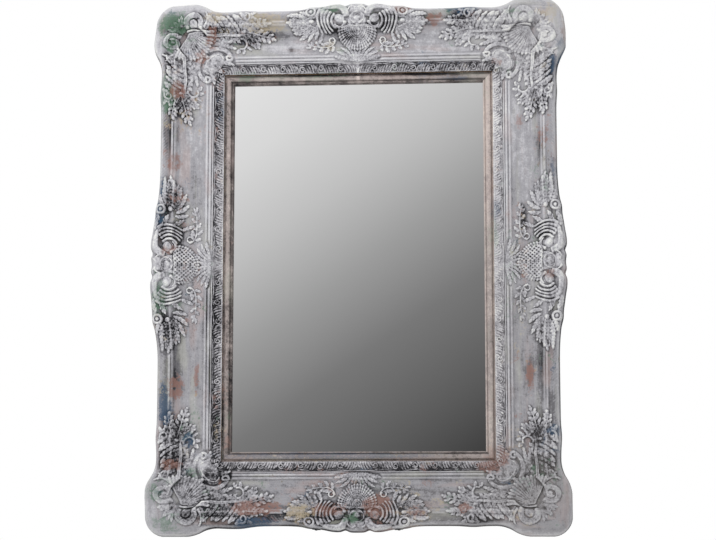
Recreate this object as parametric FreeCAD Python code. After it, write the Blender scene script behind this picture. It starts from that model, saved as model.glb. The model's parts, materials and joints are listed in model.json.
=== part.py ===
import FreeCAD, Part
import math
import os

V = FreeCAD.Vector

# Glass, card and back panel
sight_width = 512.0
sight_height = 756.0
glass_thickness = 4.0
glass_cover = 25.0
card_thickness = 1.5
panel_thickness = 5.0
panel_gap = 0.5

# Swept outline, measured outwards from the sight edge
waist_face = 149.0
corner_face = 170.0
top_middle_face = 162.0
side_middle_face = 167.0
top_bulge_reach = 150.0
side_bulge_reach = 200.0
lobe_start = 18.0
lobe_end = 92.0
corner_radius = 40.0

# Sight slip section
slip_flange = 7.5
slip_gap = 0.3
bevel_width = 3.0
bevel_height = 9.5
groove_width = 2.5
groove_depth = 2.5
fillet_out = 16.0
fillet_height = 12.5

# Moulding section, widths from the sight edge and heights from the wall
lip_in = 20.0
rebate_in = 28.0
panel_rebate_in = 40.0
bed_low = 24.0
bed_high = 30.0
bed_out = 40.0
bead_out = 44.0
reed_out = 57.0
bead_top = 34.5
reed_top = 37.0
small_round = 1.7
reed_round = 2.4
scoop_out = 120.0
scoop_high = 55.0
scoop_sag = 8.0
band_crown = 2.5
band_edge = 2.0

# Rim that follows the swept outline
rim_width = 29.0
rim_bead_width = 6.0
rim_bead_round = 2.4
crest_top = 62.0
edge_roll = 3.0
edge_top = 50.0
edge_height = 34.0
edge_undercut = 6.0

# Corner ornament, placed from the sight corner
shell_at = (98.0, 106.0)
shell_radius = 54.0
shell_ribs = 9
shell_rise = 8.0
knob_radius = 12.0
scroll_at = (86.0, 138.0)
scroll_radius = 23.0
scroll_band = 4.0
scroll_rise = 7.0

# Middle ornament, placed from the middle of a side
palmette_radius = 50.0
palmette_ribs = 9
palmette_rise = 9.0
bead_radius = 9.0
ring_radius = 15.0
ring_taper = 3.0
wing_at = 38.0
wing_radius = 17.0
wing_ribs = 5
top_eyelet_at = 94.0
side_eyelet_at = 112.0
eyelet_radius = 11.0
leaf_rise = 6.0
sprig_rise = 4.5

# Leaf and scroll forms, as shares of a rise, a length or a radius
leaf_edge_share = 0.35
leaf_root_share = 0.7
fan_belly = 0.8
fan_root_share = 0.35
fan_overlap = 1.05
scroll_shrink = 0.62
scroll_edge_share = 0.4
scroll_eye_share = 1.2
eyelet_share = 0.8
wide_root = 0.8

# Leaves as (tip, width) from a root, corner ones from the sight corner, others from the middle
finger_root = (-20.0, 106.0)
finger_tip = (0.0, 142.0)
finger_pitch = 12.0
finger_count = 5
finger_width = 11.0
stem_ends = ((40.0, 108.0), (-44.0, 100.0))
stem_width = 14.0
bunch_root = (-28.0, 102.0)
bunch_leaves = [((-90, 122), 15), ((-94, 102), 15), ((-80, 84), 15), ((-54, 74), 14)]
hook_ends = ((-4.0, 100.0), (-34.0, 72.0))
hook_width = 14.0
strap_lobe_ends = ((74.0, 74.0), (44.0, 44.0))
strap_lobe_width = 30.0
side_lobes = [((62, 60), (10, 54), 20), ((66, 62), (40, 84), 16)]
palmette_root_in = 36.0
palmette_spread = (190, 350)
palmette_start = 6.0
bead_in = 23.0
ring_rise = 4.0
wing_in = 27.0
wing_pitch = 10.0
wing_first = 14.0
wing_lean = 10.0
wing_top_in = 8.0
wing_foot_in = 52.0
wing_leaf_width = 12.5
eyelet_in = 16.0
clump_root = (-2.0, -26.0)
clump_leaves = [((46, -34), 14), ((44, -52), 15), ((26, -64), 15), ((2, -62), 12)]
sprig_root = (56.0, 80.0)
sprig_leaves = [((94, 90), 10), ((92, 74), 10), ((76, 64), 9), ((74, 98), 9)]
curl_root = (6.0, 50.0)
curl_leaves = [((46, 58), 11), ((40, 68), 10), ((24, 74), 10), ((9, 72), 9)]
leaf_bend = 2.0

# Fasteners and hanging hardware
screw_shank = 1.75
screw_head = 3.5
screw_length = 16.0
top_screws = 3
side_screws = 4
nail_leg = 7.0
nail_gauge = 1.2
nail_height = 12.0
strap_width = 16.0
strap_length = 46.0
strap_thickness = 1.5
strap_in = 92.0
strap_height = 300.0
wire_radius = 2.0
eye_gap = 0.1
ring_half = 13.0
ring_leg = 18.0
ring_bend = 4.0
ring_lean = 3.0
bumper_radius = 8.0
bumper_thickness = 8.0
bumper_at = (74.0, 110.0)

half_w = sight_width / 2
half_h = sight_height / 2
card_front = panel_thickness + card_thickness
glass_front = card_front + glass_thickness
lip_under = glass_front + slip_flange
bead_foot = bead_top - small_round
reed_mid = (bead_out + reed_out) / 2
reed_foot = reed_top - reed_round
scoop_middle = ((reed_out + scoop_out) / 2, (reed_foot + scoop_high) / 2 - scoop_sag)


# Plan points are (along, out) in the plane of the wall, runs are (start, middle, end)
def run_edge(run, place):
    start, middle, end = run
    if middle is None:
        return Part.LineSegment(place(*start), place(*end)).toShape()
    return Part.Arc(place(*start), place(*middle), place(*end)).toShape()


def run_face(runs, place):
    return Part.Face(Part.Wire([run_edge(run, place) for run in runs]))


def polygon_runs(points):
    return [(a, None, b) for a, b in zip(points, points[1:] + points[:1])]


# Runs of the other half, in the order that leads into the given ones
def reflected(runs):
    return [tuple(None if p is None else (-p[0], p[1]) for p in reversed(run)) for run in reversed(runs)]


def fused(solids):
    if len(solids) == 1:
        return solids[0]
    return solids[0].fuse(solids[1:])


# Cuts away only the tools that reach the shape
def cut_back(shape, tools):
    near = [tool for tool in tools if tool.BoundBox.intersect(shape.BoundBox)]
    return shape.cut(near) if near else shape


def circle_of(a, b, c):
    d = 2 * (a[0] * (b[1] - c[1]) + b[0] * (c[1] - a[1]) + c[0] * (a[1] - b[1]))
    aa, bb, cc = (p[0] ** 2 + p[1] ** 2 for p in (a, b, c))
    x = (aa * (b[1] - c[1]) + bb * (c[1] - a[1]) + cc * (a[1] - b[1])) / d
    y = (aa * (c[0] - b[0]) + bb * (a[0] - c[0]) + cc * (b[0] - a[0])) / d
    return (x, y), math.hypot(a[0] - x, a[1] - y)


# Solid of a section (offset to the left, height) carried along a plan path
def swept(path, section, base):
    solids = []
    for start, middle, end in path:
        if middle is None:
            angle = math.atan2(end[1] - start[1], end[0] - start[0])
        else:
            centre, radius = circle_of(start, middle, end)
            from_centre = math.atan2(start[1] - centre[1], start[0] - centre[0])
            to_centre = math.atan2(end[1] - centre[1], end[0] - centre[0])
            chord = (end[0] - start[0], end[1] - start[1])
            side = (middle[0] - start[0]) * chord[1] - (middle[1] - start[1]) * chord[0]
            turn = 1 if side > 0 else -1
            sweep = (turn * (to_centre - from_centre)) % (2 * math.pi)
            angle = from_centre + turn * math.pi / 2

        def place(v, h):
            return V(start[0] - v * math.sin(angle), -h, base + start[1] + v * math.cos(angle))

        face = run_face(section, place)
        if middle is None:
            solids.append(face.extrude(V(end[0] - start[0], 0, end[1] - start[1])))
        else:
            axis = V(0, -turn, 0)
            pivot = V(centre[0], 0, base + centre[1])
            solids.append(face.revolve(pivot, axis, math.degrees(sweep)))
    return fused(solids)


# Reverse curve of two equal arcs, level at both ends
def s_curve(start, end):
    run = end[0] - start[0]
    rise = end[1] - start[1]
    if abs(rise) < 1e-6:
        return [(start, None, end)]
    radius = (run ** 2 + rise ** 2) / (4 * abs(rise))
    half_turn = math.atan2(abs(rise), run)
    ds = radius * math.sin(half_turn)
    du = math.copysign(radius * (1 - math.cos(half_turn)), rise)
    middle = (start[0] + run / 2, start[1] + rise / 2)
    return [(start, (start[0] + ds, start[1] + du), middle), (middle, (end[0] - ds, end[1] - du), end)]


def s_curve_rise(x, run, rise):
    x = min(max(x, 0.0), run)
    if abs(rise) < 1e-6:
        return 0.0
    radius = (run ** 2 + rise ** 2) / (4 * abs(rise))
    near = min(x, run - x)
    part = math.copysign(radius - math.sqrt(radius ** 2 - near ** 2), rise)
    return part if x < run / 2 else rise - part


def arc_height(u, start, middle, end):
    centre, radius = circle_of(start, middle, end)
    lift = math.sqrt(max(radius ** 2 - (u - centre[0]) ** 2, 0.0))
    return centre[1] + lift if middle[1] > centre[1] else centre[1] - lift


# Rim section, offsets measured from the outline
crest_in = rim_bead_width - rim_width
crest_foot = scoop_high + 2
crest_middle = ((crest_in - edge_roll) / 2, crest_top)
rim_runs = [
    ((-rim_width, 0.0), None, (-rim_width, scoop_high)),
    ((-rim_width, scoop_high), (-rim_width + rim_bead_width / 2, crest_foot - 1 + rim_bead_round),
     (crest_in, crest_foot)),
    ((crest_in, crest_foot), crest_middle, (-edge_roll, edge_top)),
    ((-edge_roll, edge_top), (-edge_roll / 4, (edge_top + edge_height) / 2), (0.0, edge_height)),
    ((0.0, edge_height), None, (-edge_undercut, 0.0)),
    ((-edge_undercut, 0.0), None, (-rim_width, 0.0)),
]

# Straight inner moulding, from the rebate over the reeds and the scoop to the shelf under the rim
moulding_runs = [
    ((rebate_in, panel_thickness), None, (rebate_in, lip_under)),
    ((rebate_in, lip_under), None, (lip_in, lip_under)),
    ((lip_in, lip_under), None, (lip_in, bed_low)),
    ((lip_in, bed_low), None, (bed_out, bed_high)),
    ((bed_out, bed_high), None, (bed_out, bead_foot)),
    ((bed_out, bead_foot), ((bed_out + bead_out) / 2, bead_top), (bead_out, bead_foot)),
    ((bead_out, bead_foot), None, (bead_out, reed_foot)),
    ((bead_out, reed_foot), ((bead_out + reed_mid) / 2, reed_top), (reed_mid, reed_foot)),
    ((reed_mid, reed_foot), ((reed_mid + reed_out) / 2, reed_top), (reed_out, reed_foot)),
    ((reed_out, reed_foot), scoop_middle, (scoop_out, scoop_high)),
    ((scoop_out, scoop_high), None, (corner_face, scoop_high)),
    ((corner_face, scoop_high), None, (corner_face, 0.0)),
    ((corner_face, 0.0), None, (panel_rebate_in, 0.0)),
    ((panel_rebate_in, 0.0), None, (panel_rebate_in, panel_thickness)),
    ((panel_rebate_in, panel_thickness), None, (rebate_in, panel_thickness)),
]

band_runs = [
    ((lip_in, bed_low), None, (bed_out, bed_high)),
    ((bed_out, bed_high), None, (bed_out, bed_high + band_edge)),
    ((bed_out, bed_high + band_edge),
     ((lip_in + bed_out) / 2, (bed_low + bed_high) / 2 + band_edge + band_crown),
     (lip_in, bed_low + band_edge)),
    ((lip_in, bed_low + band_edge), None, (lip_in, bed_low)),
]

groove_out = bevel_width + groove_width
slip_front = glass_front + bevel_height
slip_runs = [
    ((0.0, glass_front), None, (bevel_width, slip_front)),
    ((bevel_width, slip_front), None,
     (groove_out, slip_front - groove_depth)),
    ((groove_out, slip_front - groove_depth), None, (groove_out, slip_front)),
    ((groove_out, slip_front),
     ((groove_out + fillet_out) / 2, glass_front + fillet_height), (fillet_out, slip_front)),
    ((fillet_out, slip_front), None, (fillet_out, lip_under)),
    ((fillet_out, lip_under), None, (rebate_in - slip_gap, lip_under)),
    ((rebate_in - slip_gap, lip_under), None, (rebate_in - slip_gap, glass_front)),
    ((rebate_in - slip_gap, glass_front), None, (0.0, glass_front)),
]


# One side of the frame, drawn as the top side: half is its half sight length, base its distance out
class Side:
    def __init__(self, half, base, middle_face, bulge_reach, eyelet_at):
        self.half = half
        self.base = base
        self.middle_face = middle_face
        self.bulge_reach = bulge_reach
        self.eyelet_at = eyelet_at

    def outline(self, inset):
        waist = waist_face - inset
        corner = corner_face - inset
        radius = corner_radius - inset
        lobe_on = (self.half + lobe_start, waist)
        lobe_top = (self.half + lobe_end, corner)
        turn = (self.half + corner_face - corner_radius, corner)
        slant = radius * math.sqrt(0.5)
        right = s_curve((0.0, self.middle_face - inset), (self.bulge_reach, waist))
        right += [((self.bulge_reach, waist), None, lobe_on)]
        right += s_curve(lobe_on, lobe_top)
        right += [(lobe_top, None, turn)]
        right += [(turn, (turn[0] + slant, corner - radius + slant), (turn[0] + radius, corner - radius))]
        return reflected(right) + right

    def face_at(self, s):
        s = abs(s)
        past = s - self.half
        face = self.middle_face + s_curve_rise(s, self.bulge_reach, waist_face - self.middle_face)
        face += s_curve_rise(past - lobe_start, lobe_end - lobe_start, corner_face - waist_face)
        turn = past - (corner_face - corner_radius)
        if turn > 0:
            face += math.sqrt(max(corner_radius ** 2 - turn ** 2, 0.0)) - corner_radius
        return face

    # Height of the bare moulding above the wall
    def bed(self, s, u):
        past = abs(s) - self.half
        if past > u:
            s, u = self.half + u, past
        v = min(u - self.face_at(s), 0.0)
        if v > -edge_roll:
            return edge_height + (edge_top - edge_height) * min(1.0, -v / edge_roll)
        if v > crest_in:
            return arc_height(v, (crest_in, crest_foot), crest_middle, (-edge_roll, edge_top))
        if v > -rim_width:
            return crest_foot + rim_bead_round - 1
        if u > scoop_out:
            return scoop_high
        if u > reed_out:
            return arc_height(u, (reed_out, reed_foot), scoop_middle, (scoop_out, scoop_high))
        return reed_top if u > bead_out else bead_top

    def point(self, s, u, h):
        return V(s, -h, self.base + u)

    def wedge(self):
        reach = corner_face + corner_radius
        far = self.half + reach
        corners = [(-self.half, 0.0), (self.half, 0.0), (far, reach), (-far, reach)]
        face = run_face(polygon_runs(corners), lambda s, u: self.point(s, u, -corner_radius))
        return face.extrude(V(0, -2 * corner_radius - crest_top, 0))

    def strip(self, runs):
        reach = self.half + corner_face
        face = run_face(runs, lambda u, h: self.point(-reach, u, h))
        return face.extrude(V(2 * reach, 0, 0))

    def mitred(self, runs):
        return self.strip(runs).common(self.wedge())

    def rail(self):
        rim = swept(self.outline(0.0), rim_runs, self.base)
        plan = self.outline(rim_width / 2)
        end = plan[-1][2]
        plan += [(end, None, (end[0], 0.0)), ((end[0], 0.0), None, (-end[0], 0.0)),
                 ((-end[0], 0.0), None, (-end[0], end[1]))]
        inner = run_face(plan, lambda s, u: self.point(s, u, 0.0)).extrude(V(0, -crest_top, 0))
        body = self.strip(moulding_runs).common(inner)
        return body.fuse(rim).common(self.wedge()).removeSplitter()

    # Pointed leaf with a ridge: root, belly and tip stand on the moulding and sink below its face
    def blade(self, root, tip, width, rise, belly=0.5, bend=0.0, root_share=0.6):
        ds = tip[0] - root[0]
        du = tip[1] - root[1]
        length = math.hypot(ds, du)
        ns = -du / length
        nu = ds / length
        mid = (root[0] + ds * belly + ns * bend, root[1] + du * belly + nu * bend)
        low = min(self.bed(*p) for p in (root, mid, tip)) - rise

        def trio(p, half_width, share):
            bed = self.bed(*p)
            left = (p[0] + ns * half_width, p[1] + nu * half_width)
            right = (p[0] - ns * half_width, p[1] - nu * half_width)
            edge = bed + leaf_edge_share * rise * share
            return [(left, edge), (p, bed + rise * share), (right, edge)]

        l0, a0, r0 = trio(root, root_share * width / 2, leaf_root_share)
        l1, a1, r1 = trio(mid, width / 2, 1.0)
        t = (tip, self.bed(*tip) + leaf_edge_share * rise)

        def down(p):
            return (p[0], low)

        faces = [
            [l0, a0, a1], [l0, a1, l1], [a0, r0, r1], [a0, r1, a1], [l1, a1, t], [a1, r1, t],
            [l0, l1, down(l1), down(l0)], [l1, t, down(t), down(l1)],
            [r0, r1, down(r1), down(r0)], [r1, t, down(t), down(r1)],
            [l0, a0, r0, down(r0), down(l0)], [down(l0), down(l1), down(t), down(r1), down(r0)],
        ]
        shells = []
        for corners in faces:
            points = [self.point(p[0], p[1], h) for p, h in corners]
            shells.append(Part.Face(Part.makePolygon(points + points[:1])))
        solid = Part.Solid(Part.Shell(shells))
        if solid.Volume < 0:
            solid.reverse()
        return solid

    # Fan of ribs from a hinge, the ribs swelling towards a rounded end
    def fan(self, hinge, radius, first, last, ribs, rise, start):
        step = (last - first) / (ribs - 1)
        width = 2 * fan_overlap * fan_belly * radius * math.tan(math.radians(step) / 2)
        blades = []
        for k in range(ribs):
            a = math.radians(first + step * k)
            root = (hinge[0] + start * math.cos(a), hinge[1] + start * math.sin(a))
            tip = (hinge[0] + radius * math.cos(a), hinge[1] + radius * math.sin(a))
            blades.append(self.blade(root, tip, width, rise, belly=fan_belly, root_share=fan_root_share))
        return fused(blades)

    def dome(self, at, radius, flatten):
        centre = self.bed(*at) + radius * (1 - flatten)
        return Part.makeSphere(radius, self.point(at[0], at[1], centre - radius * flatten))

    # Curled band with a ridge: half turns that grow tighter, ending in an eye
    def volute(self, at, radius, first, turn, half_turns, band, rise):
        shrink = scroll_shrink
        centre = at
        a = math.radians(first)
        path = []
        for k in range(half_turns):
            start = (centre[0] + radius * math.cos(a), centre[1] + radius * math.sin(a))
            mid_a = a + turn * math.pi / 2
            middle = (centre[0] + radius * math.cos(mid_a), centre[1] + radius * math.sin(mid_a))
            a = a + turn * math.pi
            end = (centre[0] + radius * math.cos(a), centre[1] + radius * math.sin(a))
            path.append((start, middle, end))
            centre = (end[0] + (centre[0] - end[0]) * shrink, end[1] + (centre[1] - end[1]) * shrink)
            radius = radius * shrink
        bed = max(self.bed(*p) for run in path for p in run)
        low = edge_height
        edge = bed + rise * scroll_edge_share
        section = polygon_runs([(-band, low), (-band, edge), (0.0, bed + rise), (band, edge), (band, low)])
        foot = self.point(path[-1][2][0], path[-1][2][1], low)
        eye = Part.makeCylinder(band * scroll_eye_share, bed + rise - low, foot, V(0, -1, 0))
        return fused([swept(path, section, self.base), eye])


def mirror_x(shape):
    return shape.mirror(V(0, 0, 0), V(1, 0, 0))


def mirror_z(shape):
    return shape.mirror(V(0, 0, 0), V(0, 0, 1))


# Swaps along and out, which turns a piece drawn on the top side into one on the right side
def swap(shape):
    return shape.mirror(V(0, 0, 0), V(1, 0, -1))


top = Side(half_w, half_h, top_middle_face, top_bulge_reach, top_eyelet_at)
flank = Side(half_h, half_w, side_middle_face, side_bulge_reach, side_eyelet_at)


def corner(side, at):
    return (side.half + at[0], at[1])


def corner_shell():
    hinge = corner(top, shell_at)
    fan = top.fan(hinge, shell_radius, 176, 274, shell_ribs, shell_rise, knob_radius * 0.6)
    knob = top.dome(hinge, knob_radius, 0.45)
    return fan.fuse(knob)


def corner_scroll(side):
    return side.volute(corner(side, scroll_at), scroll_radius, 180, -1, 3, scroll_band, scroll_rise)


# Leaf fingers lean over the rim towards the corner, a bunch points away from it
def corner_leaves(side):
    def at(t, u):
        return corner(side, (t, u))

    leaves = [side.blade(at(*stem_ends[0]), at(*stem_ends[1]), stem_width, leaf_rise, bend=-leaf_bend)]
    for k in range(finger_count):
        root = at(finger_root[0] + finger_pitch * k, finger_root[1])
        tip = at(finger_tip[0] + finger_pitch * k, finger_tip[1])
        leaves.append(side.blade(root, tip, finger_width, leaf_rise, bend=leaf_bend))
    for tip, width in bunch_leaves:
        ends = (at(*bunch_root), at(*tip))
        leaves.append(side.blade(ends[0], ends[1], width, leaf_rise, bend=leaf_bend, root_share=wide_root))
    leaves.append(side.blade(at(*hook_ends[0]), at(*hook_ends[1]), hook_width, leaf_rise, bend=-leaf_bend))
    return fused(leaves)


def corner_cartouche():
    def at(p, flip):
        return corner(top, (p[1], p[0]) if flip else p)

    root, tip = strap_lobe_ends
    lobes = [top.blade(at(root, False), at(tip, False), strap_lobe_width, leaf_rise, root_share=wide_root)]
    for flip in (False, True):
        for root, tip, width in side_lobes:
            lobes.append(top.blade(at(root, flip), at(tip, flip), width, leaf_rise, root_share=0.9))
    return fused(lobes)


def palmette(side):
    face = side.middle_face
    root = (0.0, face - palmette_root_in)
    first, last = palmette_spread
    fan = side.fan(root, palmette_radius, first, last, palmette_ribs, palmette_rise, palmette_start)
    bead_at = (0.0, face - bead_in)
    bead = side.dome(bead_at, bead_radius, 0.35)
    foot = side.point(bead_at[0], bead_at[1], edge_height)
    height = side.bed(*bead_at) + ring_rise - edge_height
    ring = Part.makeCone(ring_radius, ring_radius - ring_taper, height, foot, V(0, -1, 0))
    return fused([fan, ring, bead])


# Curled scroll beside the bead, with grooved leaves leaning away from it
def wing(side):
    curl_at = (wing_at, side.middle_face - wing_in)
    curl = side.volute(curl_at, wing_radius, 180, -1, 3, scroll_band, scroll_rise)
    ribs = []
    for k in range(wing_ribs):
        s = wing_at + wing_first + wing_pitch * k
        edge = side.face_at(s)
        tip = (s + wing_lean - k, edge - wing_foot_in + 3 * k)
        ribs.append(side.blade((s, edge - wing_top_in), tip, wing_leaf_width, leaf_rise, bend=-leaf_bend,
                               root_share=0.9))
    return fused([curl] + ribs)


def middle_leaves(side):
    e = side.eyelet_at
    face = side.face_at(e)
    band = scroll_band * eyelet_share
    leaves = [side.volute((e, face - eyelet_in), eyelet_radius, 180, -1, 2, band, scroll_rise * eyelet_share)]
    root = (e + clump_root[0], face + clump_root[1])
    for (ds, du), width in clump_leaves:
        tip = (e + ds, face + du)
        leaves.append(side.blade(root, tip, width, leaf_rise, bend=-leaf_bend, root_share=wide_root))
    return fused(leaves)


def small_leaves(side, root, leaves):
    blades = []
    for tip, width in leaves:
        blades.append(side.blade(root, tip, width, sprig_rise, bend=leaf_bend, root_share=wide_root))
    return fused(blades)


# Countersunk screw standing on its point, head flush with the given depth behind the wall plane
def screw(x, y, z):
    point = screw_shank
    profile = [(0.0, 0.0), (screw_head, 0.0), (screw_shank, screw_head - screw_shank),
               (screw_shank, screw_length - point), (0.0, screw_length)]
    face = run_face(polygon_runs(profile), lambda r, d: V(x + r, y - d, z))
    return face.revolve(V(x, y, z), V(0, 1, 0), 360)


def spread(count, reach):
    return [-reach + 2 * reach * k / (count - 1) for k in range(count)]


def panel_screw_set():
    line = (rebate_in + panel_rebate_in - panel_gap) / 2
    reach_x = half_w - panel_rebate_in
    reach_z = half_h - panel_rebate_in
    places = [(x, e * (half_h + line)) for x in spread(top_screws, reach_x) for e in (-1, 1)]
    places += [(e * (half_w + line), z) for z in spread(side_screws, reach_z) for e in (-1, 1)]
    return [screw(x, 0.0, z) for x, z in places]


# V-shaped nails driven across the mitres from behind
def mitre_nail_set():
    nails = []
    for out in (panel_rebate_in + 20, panel_rebate_in + 70):
        legs = []
        for flip in (1, -1):
            a = math.radians(45 + flip * 70)
            points = []
            for along, across in ((0, -1), (nail_leg, -1), (nail_leg, 1), (0, 1)):
                across = across * nail_gauge / 2
                points.append((half_w + out + along * math.cos(a) - across * math.sin(a),
                               half_h + out + along * math.sin(a) + across * math.cos(a)))
            face = run_face(polygon_runs(points), lambda x, z: V(x, 0, z))
            legs.append(face.extrude(V(0, -nail_height, 0)))
        nails.append(fused(legs))
    nails += [mirror_x(n) for n in nails]
    return nails + [mirror_z(n) for n in nails]


strap_x = half_w + strap_in
eye_in = wire_radius + eye_gap
eye_out = eye_in + strap_thickness
strap_holes = [strap_height - strap_length * share for share in (0.45, 0.8)]


def strap():
    plate = Part.makeBox(strap_width, strap_thickness, strap_length,
                         V(strap_x - strap_width / 2, 0, strap_height - strap_length))
    start = V(strap_x - strap_width / 2, eye_out, strap_height)
    eye = Part.makeCylinder(eye_out, strap_width, start, V(1, 0, 0))
    bore = Part.makeCylinder(eye_in, strap_width, start, V(1, 0, 0))
    return plate.fuse(eye).cut(bore).removeSplitter()


def strap_screw_set():
    return [screw(strap_x, strap_thickness, z) for z in strap_holes]


# D-ring drawn hanging in the wall plane about its bar, then leaned off the strap
def hanger_ring():
    bend = ring_bend * (1 - math.sqrt(0.5))
    bar = ring_half - ring_bend
    right = [((0.0, 0.0), None, (bar, 0.0)),
             ((bar, 0.0), (ring_half - bend, -bend), (ring_half, -ring_bend)),
             ((ring_half, -ring_bend), None, (ring_half, -ring_leg)),
             ((ring_half, -ring_leg), (ring_half * math.sqrt(0.5), -ring_leg - ring_half * math.sqrt(0.5)),
              (0.0, -ring_leg - ring_half))]
    wire = [((-wire_radius, 0.0), (0.0, wire_radius), (wire_radius, 0.0)),
            ((wire_radius, 0.0), (0.0, -wire_radius), (-wire_radius, 0.0))]
    ring = swept(right + reflected(right), wire, 0.0).removeSplitter()
    ring.rotate(V(0, 0, 0), V(1, 0, 0), ring_lean)
    ring.translate(V(strap_x, eye_out, strap_height))
    return ring


def bumper_set():
    x = half_w + bumper_at[0]
    z = half_h + bumper_at[1]
    profile = [(0.0, 0.0), (bumper_radius, 0.0), (bumper_radius, bumper_thickness * 0.5),
               (bumper_radius * 0.75, bumper_thickness), (0.0, bumper_thickness)]
    face = run_face(polygon_runs(profile), lambda r, d: V(x + r, d, z))
    bumper = face.revolve(V(x, 0, z), V(0, 1, 0), 360)
    pair = [bumper, mirror_x(bumper)]
    return pair + [mirror_z(b) for b in pair]


def sheet(cover, back, thickness):
    width = sight_width + 2 * cover
    height = sight_height + 2 * cover
    return Part.makeBox(width, thickness, height, V(-width / 2, -back - thickness, -height / 2))


def single(shape):
    solids = shape.Solids
    return solids[0] if len(solids) == 1 else Part.makeCompound(solids)


parts = {}


def add_sides(name, top_shape, right_shape):
    parts[name + "_top"] = top_shape
    parts[name + "_bottom"] = mirror_z(top_shape)
    parts[name + "_right"] = right_shape
    parts[name + "_left"] = mirror_x(right_shape)


def add_corners(name, shape):
    parts[name + "_top_right"] = shape
    parts[name + "_top_left"] = mirror_x(shape)
    parts[name + "_bottom_right"] = mirror_z(shape)
    parts[name + "_bottom_left"] = mirror_x(mirror_z(shape))


def pair(shape):
    return Part.makeCompound([shape, mirror_x(shape)])


# Rails and what runs along them
bare = {"top": top.rail(), "side": swap(flank.rail())}
bands = {"top": top.mitred(band_runs), "side": swap(flank.mitred(band_runs))}
add_sides("slip", top.mitred(slip_runs), swap(flank.mitred(slip_runs)))
add_sides("leaf_band", bands["top"], bands["side"])

# Corner ornament of the upper right corner, each piece cut to sit on what carries it
rails = [bare["top"], bare["side"]]
shell = cut_back(corner_shell(), rails)
under = rails + [shell]
scrolls = [cut_back(corner_scroll(top), under), cut_back(swap(corner_scroll(flank)), under)]
under += scrolls
sprays = [cut_back(corner_leaves(top), under), cut_back(swap(corner_leaves(flank)), under)]
cartouche = cut_back(corner_cartouche(), rails + [shell] + sprays + list(bands.values()))
add_corners("corner_shell", single(shell))
add_corners("corner_scrolls", Part.makeCompound(scrolls))
add_corners("corner_leaves", Part.makeCompound(sprays))
add_corners("corner_cartouche", single(cartouche))

# Middle ornament of the top and right sides
middles = {}
for key, side in (("top", top), ("side", flank)):
    rail = bare[key] if key == "top" else swap(bare[key])
    band = bands[key] if key == "top" else swap(bands[key])
    plume = cut_back(palmette(side), [rail])
    wings = cut_back(wing(side), [rail, plume])
    leaves = cut_back(middle_leaves(side), [rail, wings])
    twig = cut_back(small_leaves(side, sprig_root, sprig_leaves), [rail, plume, wings, leaves])
    curl = cut_back(small_leaves(side, curl_root, curl_leaves), [rail, band, plume, twig])
    middles[key] = {
        "palmette": single(plume),
        "wings": pair(single(wings)),
        "middle_leaves": pair(single(leaves)),
        "sprigs": pair(single(twig)),
        "reed_curls": pair(single(curl)),
    }
for name in middles["top"]:
    add_sides(name, middles["top"][name], swap(middles["side"][name]))

# Glass and its backing
panel_cover = panel_rebate_in - panel_gap
screws = panel_screw_set()
nails = mitre_nail_set()
hanger_screws = strap_screw_set()
hanger_screws += [mirror_x(s) for s in hanger_screws]
parts["mirror_glass"] = sheet(glass_cover, card_front, glass_thickness)
parts["backing_card"] = sheet(glass_cover, panel_thickness, card_thickness)
parts["back_panel"] = sheet(panel_cover, 0.0, panel_thickness).cut(screws)
parts["panel_screws"] = Part.makeCompound(screws)
parts["mitre_nails"] = Part.makeCompound(nails)
add_sides("rail", bare["top"], bare["side"])
for name in ("rail_top", "rail_bottom", "rail_right", "rail_left"):
    parts[name] = single(cut_back(parts[name], screws + nails + hanger_screws))

# Hanging hardware on the back
right_strap = strap().cut(hanger_screws)
parts["hanger_strap_right"] = right_strap
parts["hanger_strap_left"] = mirror_x(right_strap)
parts["hanger_screws"] = Part.makeCompound(hanger_screws)
parts["hanger_ring_right"] = hanger_ring()
parts["hanger_ring_left"] = mirror_x(hanger_ring())
parts["wall_bumpers"] = Part.makeCompound(bumper_set())

os.makedirs("parts", exist_ok=True)
for name, shape in parts.items():
    shape.exportStep(os.path.join("parts", name + ".step"))
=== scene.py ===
import json
import math

import bpy
import numpy as np
from mathutils import Matrix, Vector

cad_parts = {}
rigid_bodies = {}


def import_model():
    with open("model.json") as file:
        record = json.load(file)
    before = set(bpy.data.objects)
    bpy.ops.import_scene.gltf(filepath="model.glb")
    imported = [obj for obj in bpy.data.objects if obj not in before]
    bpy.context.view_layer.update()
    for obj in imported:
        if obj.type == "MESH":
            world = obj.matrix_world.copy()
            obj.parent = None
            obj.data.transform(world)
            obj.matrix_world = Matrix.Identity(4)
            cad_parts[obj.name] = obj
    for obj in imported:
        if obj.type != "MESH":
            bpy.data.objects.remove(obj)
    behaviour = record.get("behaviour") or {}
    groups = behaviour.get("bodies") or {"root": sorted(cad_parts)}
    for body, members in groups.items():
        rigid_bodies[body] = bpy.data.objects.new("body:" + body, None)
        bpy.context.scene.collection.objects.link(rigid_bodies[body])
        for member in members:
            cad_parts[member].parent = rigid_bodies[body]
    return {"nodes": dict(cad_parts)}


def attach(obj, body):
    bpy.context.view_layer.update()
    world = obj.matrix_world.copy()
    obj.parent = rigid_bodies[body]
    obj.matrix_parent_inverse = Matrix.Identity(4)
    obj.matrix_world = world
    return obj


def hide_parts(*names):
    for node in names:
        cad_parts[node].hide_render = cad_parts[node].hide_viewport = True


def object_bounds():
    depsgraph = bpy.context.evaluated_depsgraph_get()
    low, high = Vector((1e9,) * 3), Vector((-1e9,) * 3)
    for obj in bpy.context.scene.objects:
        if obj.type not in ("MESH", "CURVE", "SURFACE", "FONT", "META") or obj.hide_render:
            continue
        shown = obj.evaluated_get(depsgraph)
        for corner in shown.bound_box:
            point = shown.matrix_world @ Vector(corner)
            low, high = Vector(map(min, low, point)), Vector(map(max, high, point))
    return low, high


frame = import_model()
cad_low, cad_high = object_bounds()
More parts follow.
